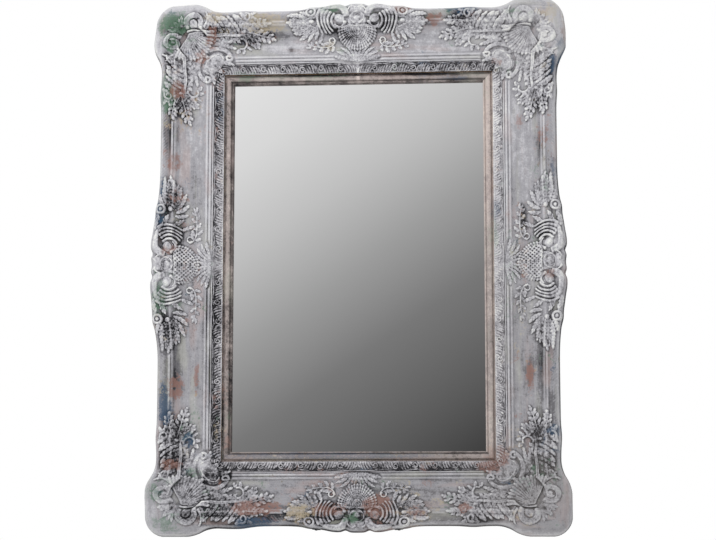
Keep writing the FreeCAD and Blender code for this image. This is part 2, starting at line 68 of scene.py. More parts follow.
nodes = frame["nodes"]
mm = 0.001

# Sizes in millimetres, as in the solid model: half the sight opening, the moulding's width at its waists and
# corners, where a corner lobe starts and ends past the sight corner, and the lobe's radius
half_w, half_h = 256.0, 378.0
waist, corner_face, lobe_start, lobe_end, corner_r = 149.0, 170.0, 18.0, 92.0, 40.0
# By side: half length, width and length of the middle swelling, place of the eyelet, dip at the very middle
TOP = dict(half=half_w, mid=162.0, reach=150.0, eye=93.0, dip=0.0)
FLANK = dict(half=half_h, mid=167.0, reach=200.0, eye=112.0, dip=3.0)
# Moulding outwards from the sight edge: leaf band, scoop, shelf and rim, and the highest front
band_in, band_out, scoop_in, shelf_in = 20.0, 40.0, 57.0, 120.0
rim_w, shelf_high, front = 29.0, 55.0, 70.0
# Carving: kept share of its drawn height, wander of the hand, steepness of its flanks, length of a leaf's
# lobes, spacing of its points, depth where nothing is drawn, and how far its edges sink into the moulding
softness, wander, steep, notch, step, undrawn, sink = 0.8, 0.9, 2.2, 7.0, 0.8, -9.0, 2.5


# Share held between 0 and 1, and the same with soft ends
def unit(x):
    return np.clip(x, 0.0, 1.0)


def smooth(x):
    x = unit(x)
    return x * x * (3 - 2 * x)


# S-shaped rise made of two equal arcs
def s_rise(x, run, rise):
    x = np.clip(x, 0.0, run)
    r = (run ** 2 + rise ** 2) / (4 * abs(rise))
    near = np.minimum(x, run - x)
    part = np.copysign(r - np.sqrt(np.maximum(r * r - near * near, 0.0)), rise)
    return np.where(x < run / 2, part, rise - part)


def swell(x, at, wide, high):
    return high * np.exp(-((x - at) / wide) ** 2)


# Distance of the swept outline from the sight edge, with the small swellings of the carving
def face(s, side):
    s = np.abs(s)
    past = s - side["half"]
    f = side["mid"] + s_rise(s, side["reach"], waist - side["mid"])
    f = f + s_rise(past - lobe_start, lobe_end - lobe_start, corner_face - waist)
    f = f + swell(s, side["eye"] + 3, 12, 2.0) + swell(past, -26, 22, 2.0)
    return f - swell(s, 24, 7, 3.6) - swell(s, 0, 14, side["dip"]) + swell(s, 48, 14, 1.2)


# Height on the circle through three points
def arc(u, a, m, b):
    (x1, y1), (x2, y2), (x3, y3) = a, m, b
    d = 2 * (x1 * (y2 - y3) + x2 * (y3 - y1) + x3 * (y1 - y2))
    q1, q2, q3 = x1 * x1 + y1 * y1, x2 * x2 + y2 * y2, x3 * x3 + y3 * y3
    cx = (q1 * (y2 - y3) + q2 * (y3 - y1) + q3 * (y1 - y2)) / d
    cy = (q1 * (x3 - x2) + q2 * (x1 - x3) + q3 * (x2 - x1)) / d
    r = np.hypot(x1 - cx, y1 - cy)
    lift = np.sqrt(np.maximum(r * r - (u - cx) ** 2, 0.0))
    return cy + lift if y2 > cy else cy - lift


# Height of the straight moulding: bead, two reeds, scoop and shelf, or without bead and reeds
def moulding(u, plain):
    h = np.interp(u, [0, band_in, band_out, scoop_in], [22, 24, 30, 35.5])
    if not plain:
        for *low, crown, end in ((40, 32.8, (42, 34.5), (44, 32.8)), (44, 34.6, (47.25, 37), (50.5, 34.6)),
                                 (50.5, 34.6, (53.75, 37), (57, 34.6))):
            h = np.where(u > low[0], arc(u, low, crown, end), h)
    h = np.where(u > scoop_in, arc(u, (scoop_in, 34.6), (88.5, 36.8), (shelf_in, shelf_high)), h)
    return np.where(u > shelf_in, shelf_high, h)


# Height of the rim by its distance inside the outline: bead, roll and lip
def rim(v, plain):
    bead, roll, lip = (-rim_w, shelf_high), (-23.0, 57.0), (-3.0, 50.0)
    flat = np.interp(v, [bead[0], roll[0]], [bead[1], roll[1]])
    h = flat if plain else arc(v, bead, (-26, 58.4), roll)
    h = np.where(v > roll[0], arc(v, roll, (-13, 62), lip), h)
    return np.where(v > lip[0], np.interp(v, [lip[0], -1, 0], [lip[1], 43, 34]), h)


# Distance inside the outline, negative inwards
def inset(s, u, side):
    s = np.abs(s)
    past = s - side["half"]
    slope = (face(s + 1.0, side) - face(s - 1.0, side)) / 2
    v = (u - face(s, side)) / np.sqrt(1 + slope ** 2)
    c = corner_face - corner_r
    round_v = np.hypot(past - c, u - c) - corner_r
    return np.where((past > c) & (u > c), np.maximum(v, round_v), v)


# Bare moulding of one side: s along from its middle, u out from the sight edge
def base_side(s, u, side, plain=False):
    v = inset(s, u, side)
    h = moulding(u, plain)
    h = h + (np.maximum(h, shelf_high) - h) * smooth((v + rim_w + 7) / 7)
    edge = np.clip(v, -rim_w, 0.0)
    crest = rim(edge, plain)
    if not plain:
        pitch = 6.5
        on_roll = np.exp(-((edge + 12) / 6.5) ** 4)
        crest = crest + 0.5 * (np.abs(np.sin(np.pi * (np.abs(s) + 0.9 * edge) / pitch)) - 0.6) * on_roll
    lowest = 20.0
    h = np.where(v > -rim_w, np.maximum(crest, lowest), h)
    lobe = smooth((np.abs(s) - side["half"] - 34) / 40)
    inner, outer = -52, -3
    cushion = arc(np.clip(v, inner, outer), (inner, 54), (-22, 61), (outer, 50))
    cushion = np.where(v > outer, rim(edge, True), cushion)
    cushion = np.maximum(cushion, np.where(v < -20, moulding(u, plain), 0.0))
    return h + (np.where(v < inner, h, cushion) - h) * lobe


# Bare moulding anywhere in the upper right quarter, by distance past the sight corner
def base_at(a, b, plain=False):
    over = base_side(half_w + a, b, TOP, plain)
    beside = base_side(half_h + b, a, FLANK, plain)
    return np.where(b >= a, over, beside)


# Value between four neighbours of a lattice
def blend(table, i0, i1, j0, j1, fx, fy):
    near = table[i0, j0] * (1 - fx) + table[i1, j0] * fx
    far = table[i0, j1] * (1 - fx) + table[i1, j1] * fx
    return near * (1 - fy) + far * fy


# Smooth random field in 0 to 1 over millimetre places, from a lattice of random values
def noise(x, y, size, seed):
    cells = 64
    table = np.random.RandomState(seed).rand(cells, cells)
    gx, gy = x / size, y / size
    i, j = np.floor(gx).astype(int), np.floor(gy).astype(int)
    after_i, after_j = (i + 1) % cells, (j + 1) % cells
    return blend(table, i % cells, after_i, j % cells, after_j, smooth(gx - i), smooth(gy - j))


class Patch:
    """A grid of heights above the bare moulding, drawn stroke by stroke with a slightly wandering hand."""

    def __init__(self, low, high, size=step):
        x, y = (low[k] + size * np.arange(int(round((high[k] - low[k]) / size)) + 1) for k in (0, 1))
        self.X, self.Y = np.meshgrid(x, y, indexing="ij")
        self.low, self.size = low, size
        self.D = np.full(self.X.shape, undrawn)
        self.U = self.X + wander * (np.sin(self.Y / 8.3 + 1) + 0.8 * np.sin((self.X + self.Y) / 13.7))
        self.V = self.Y + wander * (np.sin(self.X / 9.1 + 2) + 0.8 * np.sin((self.X - self.Y) / 12.1))
        self.chance = np.random.RandomState(5)

    def window(self, low, high):
        i0, j0 = (max(int((low[k] - 2 - self.low[k]) / self.size), 0) for k in (0, 1))
        i1, j1 = (max(int((high[k] + 2 - self.low[k]) / self.size) + 2, 0) for k in (0, 1))
        return np.s_[i0:i1, j0:j1]

    # Window round a place, and the distances from it
    def around(self, at, r):
        part = self.window((at[0] - r, at[1] - r), (at[0] + r, at[1] + r))
        return part, self.U[part] - at[0], self.V[part] - at[1]

    # Window round a line, with the share of its length and the signed distance across it
    def beside(self, c, pad):
        part = self.window(c.min(0) - pad, c.max(0) + pad)
        return part, *along(self.U[part], self.V[part], c)

    # Adds a stroke of this height, which falls off steeply by the distance past its edges
    def put(self, part, top, past):
        self.D[part] = np.maximum(self.D[part], top - steep * past)


def bezier(pts, n=28):
    t = np.linspace(0, 1, n)[:, None]
    p = [np.array(q, float) for q in pts]
    while len(p) > 1:
        p = [a * (1 - t) + b * t for a, b in zip(p, p[1:])]
    return p[0]


# Nearest place on a centre line: share of its length, and signed distance across it
def along(X, Y, c):
    n = len(c)
    tan = np.gradient(c, axis=0)
    tan = tan / (np.linalg.norm(tan, axis=1)[:, None] + 1e-9)
    best = np.full(X.shape, 1e9)
    k = np.zeros(X.shape, int)
    for i in range(n):
        d = (X - c[i, 0]) ** 2 + (Y - c[i, 1]) ** 2
        k = np.where(d < best, i, k)
        best = np.minimum(d, best)
    dx, dy = X - c[k, 0], Y - c[k, 1]
    seg = np.linalg.norm(np.diff(c, axis=0), axis=1)
    forward = dx * tan[k, 0] + dy * tan[k, 1]
    t = (k + forward / np.maximum(seg[np.minimum(k, n - 2)], 1e-6)) / (n - 1)
    return t, dy * tan[k, 0] - dx * tan[k, 1]


# Leaf with lobed edges and veins round a shallow hollow with a thin midrib, rising to a pointed tip
def leaf(P, pts, width, rise, root=0.45, dish=0.3, belly=0.5):
    c = bezier(pts)
    width, rise = width * P.chance.uniform(0.88, 1.12), rise * P.chance.uniform(0.86, 1.1)
    part, t, v = P.beside(c, width * 0.8 + 3)
    q = unit(t)
    grow = root + (1 - root) * np.sin(unit(q / belly) * np.pi / 2)
    fall = unit(1 - ((q - belly) / (1 - belly)) ** 2) ** 0.7
    half = width / 2 * np.where(q < belly, grow, fall) + 1e-3
    size = np.linalg.norm(c[-1] - c[0])
    e = np.minimum(np.abs(v) / half, 1)
    lobes = np.abs(np.sin(np.pi * (0.2 + q * size / notch - 0.5 * e)))
    half = half * (0.78 + 0.22 * lobes)
    e = np.minimum(np.abs(v) / half, 1)
    hollow = dish * unit(1 - (e / 0.75) ** 2)
    midrib = 0.6 * dish * np.exp(-(e / 0.2) ** 2)
    veins = 0.2 * (1 - lobes) ** 2 * unit(e / 0.4)
    across = 1 - 0.5 * e ** 3 - hollow + midrib - veins
    top = rise * (0.6 + 0.4 * np.sin(np.clip(t / 0.85, 0, 1.15) * np.pi / 2)) * across
    over = np.maximum(np.abs(v) - half, 0) + size * (1.2 * np.maximum(-t, 0) + np.maximum(t - 1, 0))
    P.put(part, top, over)


# Band along a curve: a rounded cord, a flat strap (hollow below zero) or a channel (hollow above zero)
def ribbon(P, c, w0, w1, rise, hollow=0.0, ends=1.0):
    c = np.asarray(c, float)
    part, t, v = P.beside(c, max(w0, w1) + 4)
    half = w0 + (w1 - w0) * unit(t)
    q = np.minimum(np.abs(v) / half, 1)
    top = rise * (0.35 + 0.65 * np.sqrt(1 - q ** 2))
    if hollow < 0:
        top = rise * (1 + hollow * q ** 4)
    if hollow > 0:
        lip = 0.72
        top = rise * (1 - hollow + hollow * np.sin(unit(q / lip) * np.pi / 2) ** 2)
        top = np.where(q > lip, rise * (1 - 0.6 * ((q - lip) / (1 - lip)) ** 2), top)
    size = np.linalg.norm(np.diff(c, axis=0), axis=1).sum()
    over = np.maximum(np.abs(v) - half, 0) + ends * size * (np.maximum(-t, 0) + np.maximum(t - 1, 0))
    P.put(part, top, over)


def ring_line(at, r, a):
    return np.stack([at[0] + r * np.cos(a), at[1] + r * np.sin(a)], 1)


def spiral(at, r0, start, turn, turns, r1, power, n):
    q = np.linspace(0, 1, n)
    a = np.radians(start) + turn * q * turns * 2 * np.pi
    return ring_line(at, r1 + (r0 - r1) * (1 - q) ** power, a)


def circle(at, r):
    return ring_line(at, r, np.linspace(0, 2 * np.pi, 60))


# Rounded boss on an oval, with an optional hollow on top
def dome(P, at, rx, ry, rise, turn=0.0, dish=0.0):
    part, dx, dy = P.around(at, max(rx, ry) + 4)
    c, s = np.cos(np.radians(turn)), np.sin(np.radians(turn))
    e = np.hypot((dx * c + dy * s) / rx, (dy * c - dx * s) / ry)
    q = np.minimum(e, 1)
    top = rise * np.sqrt(1 - q ** 2) - dish * unit(1 - (q / 0.7) ** 2)
    P.put(part, top, np.maximum(e - 1, 0) * min(rx, ry))


# Fan shell: flat ribs from a hinge, with thin cuts between them and a scalloped edge
def fan(P, hinge, radius, a0, a1, ribs, rise, low, cut, scallop):
    part, dx, dy = P.around(hinge, radius + 5)
    dist = np.hypot(dx, dy)
    wide = np.radians(a1 - a0) / 2
    ang = np.angle(np.exp(1j * (np.arctan2(dy, dx) - np.radians((a0 + a1) / 2))))
    q = np.clip((ang / wide + 1) / 2, 0, 0.99999) * ribs
    ridge = np.sin(np.pi * (q - np.floor(q)))
    edge = radius * (1 - scallop * (1 - ridge))
    f = np.minimum(dist / edge, 1)
    top = rise * (low + (1 - low) * f ** 1.5)
    top = top - cut * rise * (1 - ridge ** 0.45) * unit(dist / 8 - 0.5)
    over = np.maximum(dist - edge, 0) + np.maximum(np.abs(ang) - wide, 0) * dist
    P.put(part, top, over)


# Direction turned by an angle
def turned_by(d, degrees):
    a = math.radians(degrees)
    return np.array((d[0] * math.cos(a) - d[1] * math.sin(a), d[0] * math.sin(a) + d[1] * math.cos(a)))


def heading(c, i, ahead):
    return (c[i + ahead] - c[i]) / np.linalg.norm(c[i + ahead] - c[i])


# Chain of leaflets in pairs along a stem, ending in a drop
def chain(P, pts, pairs, length, width, rise):
    c = bezier(pts, 41)
    lean = 42
    for k in range(pairs):
        i = int(36 * k / pairs)
        d = heading(c, i, 3)
        reach = length * (1.0 - 0.45 * k / pairs)
        for e in (-1, 1):
            mid = c[i] + 0.5 * reach * turned_by(d, e * lean * 1.3)
            tip = c[i] + 1.0 * reach * turned_by(d, e * lean * 0.9)
            leaf(P, [c[i], mid, tip], width * (1 - 0.3 * k / pairs), rise, root=0.7, belly=0.42)
    leaf(P, [c[30], c[36], c[40]], width * 0.8, rise, root=0.5, dish=0.2)
    ribbon(P, c[:36], 1.5, 1.0, rise * 0.8)


# Corner pieces are drawn by their place past the sight corner, as (along, out) beside the top rail
def draw_shell(P):
    fan(P, (97.0, 105.0), 57, 174, 296, 16, 7.5, low=0.7, cut=0.36, scallop=0.06)
    ribbon(P, bezier([(40, 108), (62, 108), (84, 111), (100, 109)]), 1.4, 2.2, 7.0)


# Places as they are, or swapped for the mirror image beside the other rail
def places(swap):
    def at(*pts):
        return [(p[1], p[0]) if swap else p for p in pts]
    return at


# C-scroll beside a shell, open towards it: a curl on the long side, an arched hood on the short one
def draw_scroll(P, swap):
    at = places(swap)
    if swap:
        ribbon(P, at(*spiral((84, 126), 17.0, -40, 1, 1.25, 6.0, 0.9, 90)), 6.2, 3.4, 4.8, -0.4)
        dome(P, at((84, 125))[0], 5.4, 5.2, 4.6)
    else:
        bow = np.radians(np.linspace(-20, 218, 60))
        line = np.stack([84 + 16.0 * np.cos(bow), 125 + 15.5 * np.sin(bow)], 1)
        ribbon(P, line, 6.6, 5.6, 4.6, -0.4)
        dome(P, (85, 122), 10.5, 10.0, 5.4)
    dome(P, at((70, 115))[0], 4.8, 4.6, 6.0)
    dome(P, at((99, 117))[0], 5.0, 4.6, 6.0)
    ribbon(P, bezier(at((62, 116), (52, 126), (50, 138), (58, 147))), 3.4, 1.6, 4.6)
    leaf(P, at((58, 112), (48, 124), (44, 140)), 7, 5.5, root=0.6)
    for tip, mid in (((136, 118), (122, 112)), ((130, 130), (118, 120)), ((112, 142), (110, 126))):
        leaf(P, at((106, 110), mid, tip), 9, 3.8, root=0.6, dish=0.4)


# Spray along the rail: feathers over the rim, chains of leaves away from the corner, a hooked frond
def draw_spray(P, swap):
    at = places(swap)
    t = -26.0
    while t < 48:
        lean, top, wide = P.chance.uniform(6, 22), P.chance.uniform(132, 143), P.chance.uniform(7, 11)
        feather = at((t - 12, 100), (t - 8, 120), (t + lean, top))
        leaf(P, feather, wide, 0.72 * wide, root=0.7, dish=0.25, belly=0.7)
        t = t + wide
    ribbon(P, bezier(at((58, 103), (34, 97), (0, 102), (-34, 98))), 3.4, 2.6, 5.5, 0.15)
    for k in range(6):
        t = -10 + 10.5 * k
        leaf(P, at((t + 6, 97), (t + 1, 90), (t - 6, 84 + k)), 7.5, 4.0, root=0.8, dish=0.3)
    chain(P, at((-16, 106), (-50, 104), (-90, 86)), 6, 22, 10.5, 6.4)
    chain(P, at((-22, 112), (-50, 124), (-80, 120)), 5, 18, 10.0, 6.0)
    chain(P, at((-26, 102), (-40, 90), (-54, 72)), 4, 18, 10.0, 6.0)
    dome(P, at((-22, 106))[0], 6, 5, 7.5)
    ribbon(P, at(*spiral((-30, 131), 8.0, 60, 1, 1.1, 3, 0.9, 50)), 2.8, 2.0, 6.5)
    for tip, mid in (((-50, 141), (-40, 140)), ((-47, 131), (-40, 131)), ((-14, 141), (-22, 141))):
        leaf(P, at((-32, 126), mid, tip), 7, 5.5, root=0.5)
    hook = spiral((-18, 80), 13, 80, 1, 0.6, 8, 1.0, 40)
    ribbon(P, at(*hook), 2.8, 1.8, 5.0)
    for i, (da, db) in ((6, (-12, 4)), (13, (-13, -5)), (20, (-9, -11)), (28, (3, -13)), (36, (10, -8))):
        root = hook[i]
        leaf(P, at(root, root + (0.5 * da + 2, 0.5 * db), root + (da, db)), 8, 4.8, root=0.5)
    leaf(P, at((-18, 95), (-4, 94), (12, 84)), 9, 4.8, root=0.6)


# Smooth boss between C-scrolls that covers the reed ends at the sight corner
def draw_cartouche(P):
    dome(P, (42, 42), 27, 20, 6.8, 135, 0.6)
    for swap in (False, True):
        at = places(swap)
        ribbon(P, bezier(at((66, 66), (44, 78), (14, 76), (6, 58))), 5.2, 4.0, 4.6, -0.4)
        ribbon(P, at(*spiral((10, 54), 6.5, 150, 1, 1.0, 3, 0.9, 50)), 3.0, 2.2, 4.8, -0.4)
        ribbon(P, bezier(at((58, 44), (44, 62), (26, 64), (22, 50))), 2.2, 1.6, 6.6)
        leaf(P, at((46, 78), (26, 90), (2, 86)), 11, 5.5, root=0.6)
        leaf(P, at((36, 80), (14, 82), (-10, 72)), 9, 5.5, root=0.6)
        leaf(P, at((26, 44), (14, 44), (-2, 40)), 10, 6.0, root=0.7)
        leaf(P, at((62, 80), (52, 92), (36, 98)), 9, 5.0, root=0.6)
    leaf(P, [(84, 84), (70, 70), (54, 54)], 15, 7.5, root=0.7, dish=0.4)
    leaf(P, [(44, 44), (34, 34), (23, 23)], 13, 7.0, root=0.8, dish=0.4)


# Middle pieces are drawn by their place along the side from its middle, and out from the sight edge.
# Palmette with a frilled edge, ribbed on the short sides and pitted on the long ones, under a bead and plate
def draw_palmette(P, side):
    F = side["mid"] - side["dip"]
    root, reach = F - 55, 41.0
    part = P.window((-reach - 4, root - reach - 4), (reach + 4, root + 14))
    x, y = P.U[part], (P.V[part] - root)
    r = np.hypot(x / 0.95, np.where(y > 0, y * 4.6, y * 1.02))
    q = np.arctan2(x, -y) * 21 / np.pi
    rib = np.abs(np.cos(np.pi * q))
    edge = reach * (1 - 0.04 * (1 - rib))
    if side is TOP:
        ring = np.abs(np.sin(np.pi * (r + 2.2 * np.abs(np.sin(np.pi * q))) / 4.3))
        pits = unit(1.3 * (1 - rib ** 1.2) * ring) * unit(r / 7 - 0.2)
    else:
        lattice = np.abs(np.sin(np.pi * (x + 0.8 * y) / 7.4) * np.sin(np.pi * (x - 1.1 * y) / 8.0))
        pits = smooth((lattice - 0.35) / 0.5) * (0.3 + 1.1 * noise(x + 90, y + 90, 7.0, 8))
    f = np.minimum(r / edge, 1)
    body = 7.0 + 4.0 * np.sqrt(unit(1 - (0.9 * f) ** 2)) - 2.8 * pits
    frill = 6.4 - 2.2 * (1 - rib ** 0.6)
    P.put(part, np.where(f > 0.88, frill, body), np.maximum(r - edge, 0))
    plate = P.window((-24, F - 58), (24, F))
    px, py = P.U[plate], P.V[plate] - (F - 31)
    e = np.maximum(np.abs(px) / (15.5 - 0.14 * py), np.abs(py) / 24.0)
    P.put(plate, 4.6 - 1.4 * np.minimum(e, 1) ** 3, np.maximum(e - 1, 0) * 15)
    bead = (0, F - 33)
    ribbon(P, circle(bead, 12.5), 1.8, 1.8, 6.2, ends=0.0)
    dome(P, bead, 8.0, 8.0, 8.5)
    for e in (-1, 1):
        brow = [(e * 2, F - 12), (e * 8, F - 8), (e * 15, F - 10), (e * 17, F - 18)]
        ribbon(P, bezier(brow), 2.2, 1.6, 5.6)


# Scroll beside the bead: a smooth comma under a hood, and feathers bowed round it
def draw_wing(P, side):
    F = side["mid"] - side["dip"]
    eye = (35.0, F - 35)
    ribbon(P, bezier([(19, F - 30), (26, F - 4), (56, F - 6), (76, F - 22)], 40), 7.5, 3.0, 5.0, -0.4)
    dome(P, eye, 12.5, 9.0, 8.0, 28)
    ribbon(P, bezier([(24, F - 42), (26, F - 52), (36, F - 56), (45, F - 46)]), 3.6, 2.2, 6.5)
    for k in range(5):
        r = 17.0 + 6.8 * k + P.chance.uniform(-0.8, 0.8)
        first, last = 48 - 3 * k + P.chance.uniform(-5, 5), -58 + 4 * k + P.chance.uniform(-6, 6)
        bow = np.radians(np.linspace(first, last, 30))
        line = np.stack([eye[0] + 1.05 * r * np.cos(bow), eye[1] - 3 + 0.92 * r * np.sin(bow)], 1)
        ribbon(P, line, 3.3, 2.0, 7.0 - 0.3 * k)
    root = np.array((eye[0], eye[1] - 3))
    for angle in (38, 14, -10, -34):
        d = turned_by((1.0, 0.0), angle + P.chance.uniform(-5, 5))
        feather = [root + 44 * d, root + 54 * turned_by(d, -6), root + 66 * turned_by(d, -14)]
        leaf(P, feather, 9.5, 6.2, root=0.6)


# Eyelet and the leaf clump beyond it: root, middle, tip and width of each leaf, from the eyelet
clump = (((4, -28), (22, -22), (40, -20), 8), ((4, -32), (26, -32), (46, -29), 8),
         ((4, -36), (26, -42), (48, -40), 8.5), ((2, -40), (20, -52), (38, -54), 8.5),
         ((0, -42), (12, -58), (26, -66), 8.5), ((-4, -44), (0, -58), (9, -70), 8),
         ((-9, -44), (-11, -58), (-7, -68), 7), ((26, -34), (40, -36), (54, -34), 7),
         ((18, -46), (30, -47), (42, -48), 7), ((22, -24), (36, -20), (50, -23), 6.5),
         ((-2, -24), (10, -16), (24, -14), 6.5))


def draw_clump(P, side):
    c = side["eye"]
    f = float(face(c, side))
    far = 1.0 if side is TOP else 1.3
    for *pts, wide in clump:
        leaf(P, [(c + x * far, f + y) for x, y in pts], 1.2 * wide, 6.8, root=0.5, dish=0.4)
    ribbon(P, circle((c, f - 14), 8.6), 2.8, 2.8, 6.5, ends=0.0)
    dome(P, (c, f - 14), 5.4, 5.0, 6.5)
    leaf(P, [(c - 6, f - 8), (c - 16, f - 8), (c - 24, f - 12)], 7, 5, root=0.6)
    dome(P, (c + 1, f - 33), 6, 5, 7.0)


# Branch with small leaves in the scoop, some of them forked
def draw_sprig(P, side):
    far = 1.0 if side is TOP else 1.15
    stem = bezier([(44, 88), (48, 68), (76 * far, 68), (102 * far, 80)], 41)
    ribbon(P, stem, 1.5, 0.9, 4.2)
    for k, i in enumerate((7, 9, 13, 16, 20, 23, 27, 30, 34, 36)):
        e = -1 if k % 2 else 1
        d = heading(stem, i, 2)
        forked = k % 3 == 0
        reach = 16 - 0.7 * k + 3 * forked
        mid = stem[i] + 0.5 * reach * turned_by(d, e * 66)
        tip = stem[i] + 1.0 * reach * turned_by(d, e * 40)
        leaf(P, [stem[i], mid, tip], 6.6, 4.6, root=0.4)
        if forked:
            leaf(P, [mid, 0.5 * (mid + tip) + 2.0 * d, mid + 8 * d], 4.4, 4.2, root=0.4)
    leaf(P, [stem[34], stem[38], stem[40]], 5.5, 4.6, root=0.5)
    ribbon(P, spiral((50, 87), 6.5, 300, 1, 0.85, 3.5, 1.0, 40), 1.7, 1.3, 4.8)


# Flame leaves that lie over the reeds
def draw_curl(P):
    for pts in (((3, 43), (0, 60), (9, 74)), ((5, 43), (8, 66), (24, 75)), ((8, 43), (17, 64), (36, 71)),
                ((11, 43), (25, 57), (45, 63)), ((14, 43), (32, 49), (50, 54))):
        leaf(P, pts, 7.0, 4.4, root=0.5, dish=0.35, belly=0.6)


# Three box blurs along each axis
def blur(a, r):
    for axis in (0, 1):
        for _ in range(3):
            pad = [(r + 1, r) if k == axis else (0, 0) for k in (0, 1)]
            c = np.moveaxis(np.cumsum(np.pad(a, pad, mode="edge"), axis=axis), axis, 0)
            a = np.moveaxis((c[2 * r + 1:] - c[:-2 * r - 1]) / (2 * r + 1), 0, axis)
    return a


# Carvings of one quarter of the frame and of half of each of its two sides, as patches by name
carvings = {}


def carve(name, key, low, high, draw, *args):
    P = Patch(low, high)
    draw(P, *args)
    carvings.setdefault(name, []).append((P, key))


carve("corner_shell", "corner", (30, 30), (150, 150), draw_shell)
carve("corner_cartouche", "corner", (-6, -6), (104, 104), draw_cartouche)
for swap in (False, True):
    turn = -1 if swap else 1
    carve("corner_scrolls", "corner", (20, 100)[::turn], (140, 172)[::turn], draw_scroll, swap)
    carve("corner_leaves", "corner", (-120, 56)[::turn], (84, 164)[::turn], draw_spray, swap)
for key, side in (("top", TOP), ("right", FLANK)):
    carve("palmette_" + key, key, (-60, 60), (60, 176), draw_palmette, side)
    carve("wings_" + key, key, (10, 80), (130, 176), draw_wing, side)
    carve("middle_leaves_" + key, key, (70, 66), (200, 176), draw_clump, side)
    carve("sprigs_" + key, key, (36, 54), (134, 108), draw_sprig, side)
    carve("reed_curls_" + key, key, (0, 40), (62, 88), draw_curl)


def bare_under(P, key, plain):
    if key == "corner":
        return base_at(P.X, P.Y, plain)
    return base_side(P.X, P.Y, TOP if key == "top" else FLANK, plain)


# Place in the upper right quarter of a point drawn in a patch
def place_of(x, y, key):
    if key == "corner":
        return half_w + x, half_h + y
    return (x, half_h + y) if key == "top" else (half_w + y, x)


# Unevenness left by the knife and by many coats of paint
def crust(x, y):
    return 1.5 * (noise(x, y, 6.0, 31) - 0.5) + 1.1 * (noise(x, y, 3.0, 32) - 0.5)


# Height of a carving, whose edges sink into the moulding, and of the moulding round it
def carved_top(P, key):
    plain = bare_under(P, key, True)
    bare = np.minimum(bare_under(P, key, False), plain)
    raised = np.where(P.D > 0, softness * P.D + crust(P.X, P.Y) * unit(P.D), P.D)
    return np.minimum(np.maximum(plain + raised, bare - sink), front), bare


# Carving of the leaf band along half a side: slanted leaves in groups, with a curl between the groups
def draw_band(length):
    P = Patch((-4, -1), (length + 4, 21), 0.5)
    at, k, group = 1.0, 0, 7
    while at < length + 4:
        turn = k % group
        if turn == group - 1:
            ribbon(P, spiral((at + 4.5, 8.5), 5.6, 140, -1, 1.2, 1.6, 0.9, 50), 1.3, 0.9, 3.0)
            leaf(P, [(at, 18), (at + 5, 18.5), (at + 10, 15)], 3.6, 2.6)
            at = at + 10.5
        else:
            high = 13.5 + 3.5 * math.sin(0.9 * turn) + P.chance.uniform(-1, 1)
            leaf(P, [(at, 0.5), (at + 1.0, 0.55 * high), (at + 5.5, high)], 4.4, 3.0, root=0.55, dish=0.25)
            at = at + P.chance.uniform(4.3, 5.6)
        k = k + 1
    edge = np.array([(q, 18.9 + 0.3 * math.sin(0.2 * q)) for q in np.arange(-3, length + 4, 6.0)])
    ribbon(P, edge, 0.9, 0.9, 2.2)
    P.D = P.D + 0.6 * crust(P.X, P.Y)
    return P


bands = {half_w: draw_band(half_w + 42), half_h: draw_band(half_h + 42)}


def bilinear(field, gx, gy):
    gx = np.clip(gx, 0, field.shape[0] - 1.001)
    gy = np.clip(gy, 0, field.shape[1] - 1.001)
    i, j = gx.astype(int), gy.astype(int)
    return blend(field, i, i + 1, j, j + 1, gx - i, gy - j)


# Height of the band's leaves over their bed, s along and u out
def band_relief(s, u, side):
    P = bands[side["half"]]
    gx, gy = (np.abs(s) + 0 * u - P.low[0]) / P.size, (u + 0 * s - band_in - P.low[1]) / P.size
    return bilinear(np.maximum(P.D, 0), gx, gy)


# Height map of the quarter, which tells how deep any place lies below its surroundings
map_x, map_z = np.meshgrid(np.arange(0, 440, step), np.arange(0, 560, step), indexing="ij")
past_x, past_z = map_x - half_w, map_z - half_h
height = base_at(past_x, past_z)
out = np.maximum(past_x, past_z)
leaves = np.where(past_z >= past_x, band_relief(map_x, past_z, TOP), band_relief(map_z, past_x, FLANK))
bed, slip_out, slip_high, gap_high = 1.0, 16, 20.0, 16.0
height = np.where((out > band_in) & (out < band_out), height + bed + leaves, height)
height = np.where(out < slip_out, slip_high, np.where(out < band_in, gap_high, height))

# The same with the carvings, and how far the moulding is cut down under them
nothing, covering, deepest_cut = -99.0, 0.4, 6.0
carved = np.full(height.shape, nothing)
skirt = np.full(height.shape, nothing)
for parts in carvings.values():
    for P, key in parts:
        px, py = {"corner": (past_x, past_z), "top": (map_x, past_z), "right": (map_z, past_x)}[key]
        gx, gy = (px - P.low[0]) / step, (py - P.low[1]) / step
        inside = (gx >= 0) & (gy >= 0) & (gx <= P.D.shape[0] - 1) & (gy <= P.D.shape[1] - 1)
        level = bilinear(carved_top(P, key)[0], gx[inside], gy[inside])
        covers = bilinear(P.D, gx[inside], gy[inside]) > covering
        carved[inside] = np.maximum(carved[inside], np.where(covers, level, nothing))
        skirt[inside] = np.maximum(skirt[inside], level)
calm = smooth(3.0 * blur((carved > 0).astype(float), 5)) * (out > band_out)
cleared = (height - base_at(past_x, past_z, True)) * calm
cut_down = np.where(carved > 0, np.clip(height - carved + 1.0, cleared, deepest_cut), cleared)
height = np.where(carved > 0, carved, np.maximum(height - cut_down, skirt))
# How deep each place lies below its surroundings, near and broad, which the paint turns into painted shade in
# hollows and painted highlight on ridges
fine_recess = blur(height, 2) - height
broad_recess = blur(height, 7) - height


# Value of a quarter field at any place of the frame
def sample(field, x, z):
    return bilinear(field, np.abs(x) / step, np.abs(z) / step)
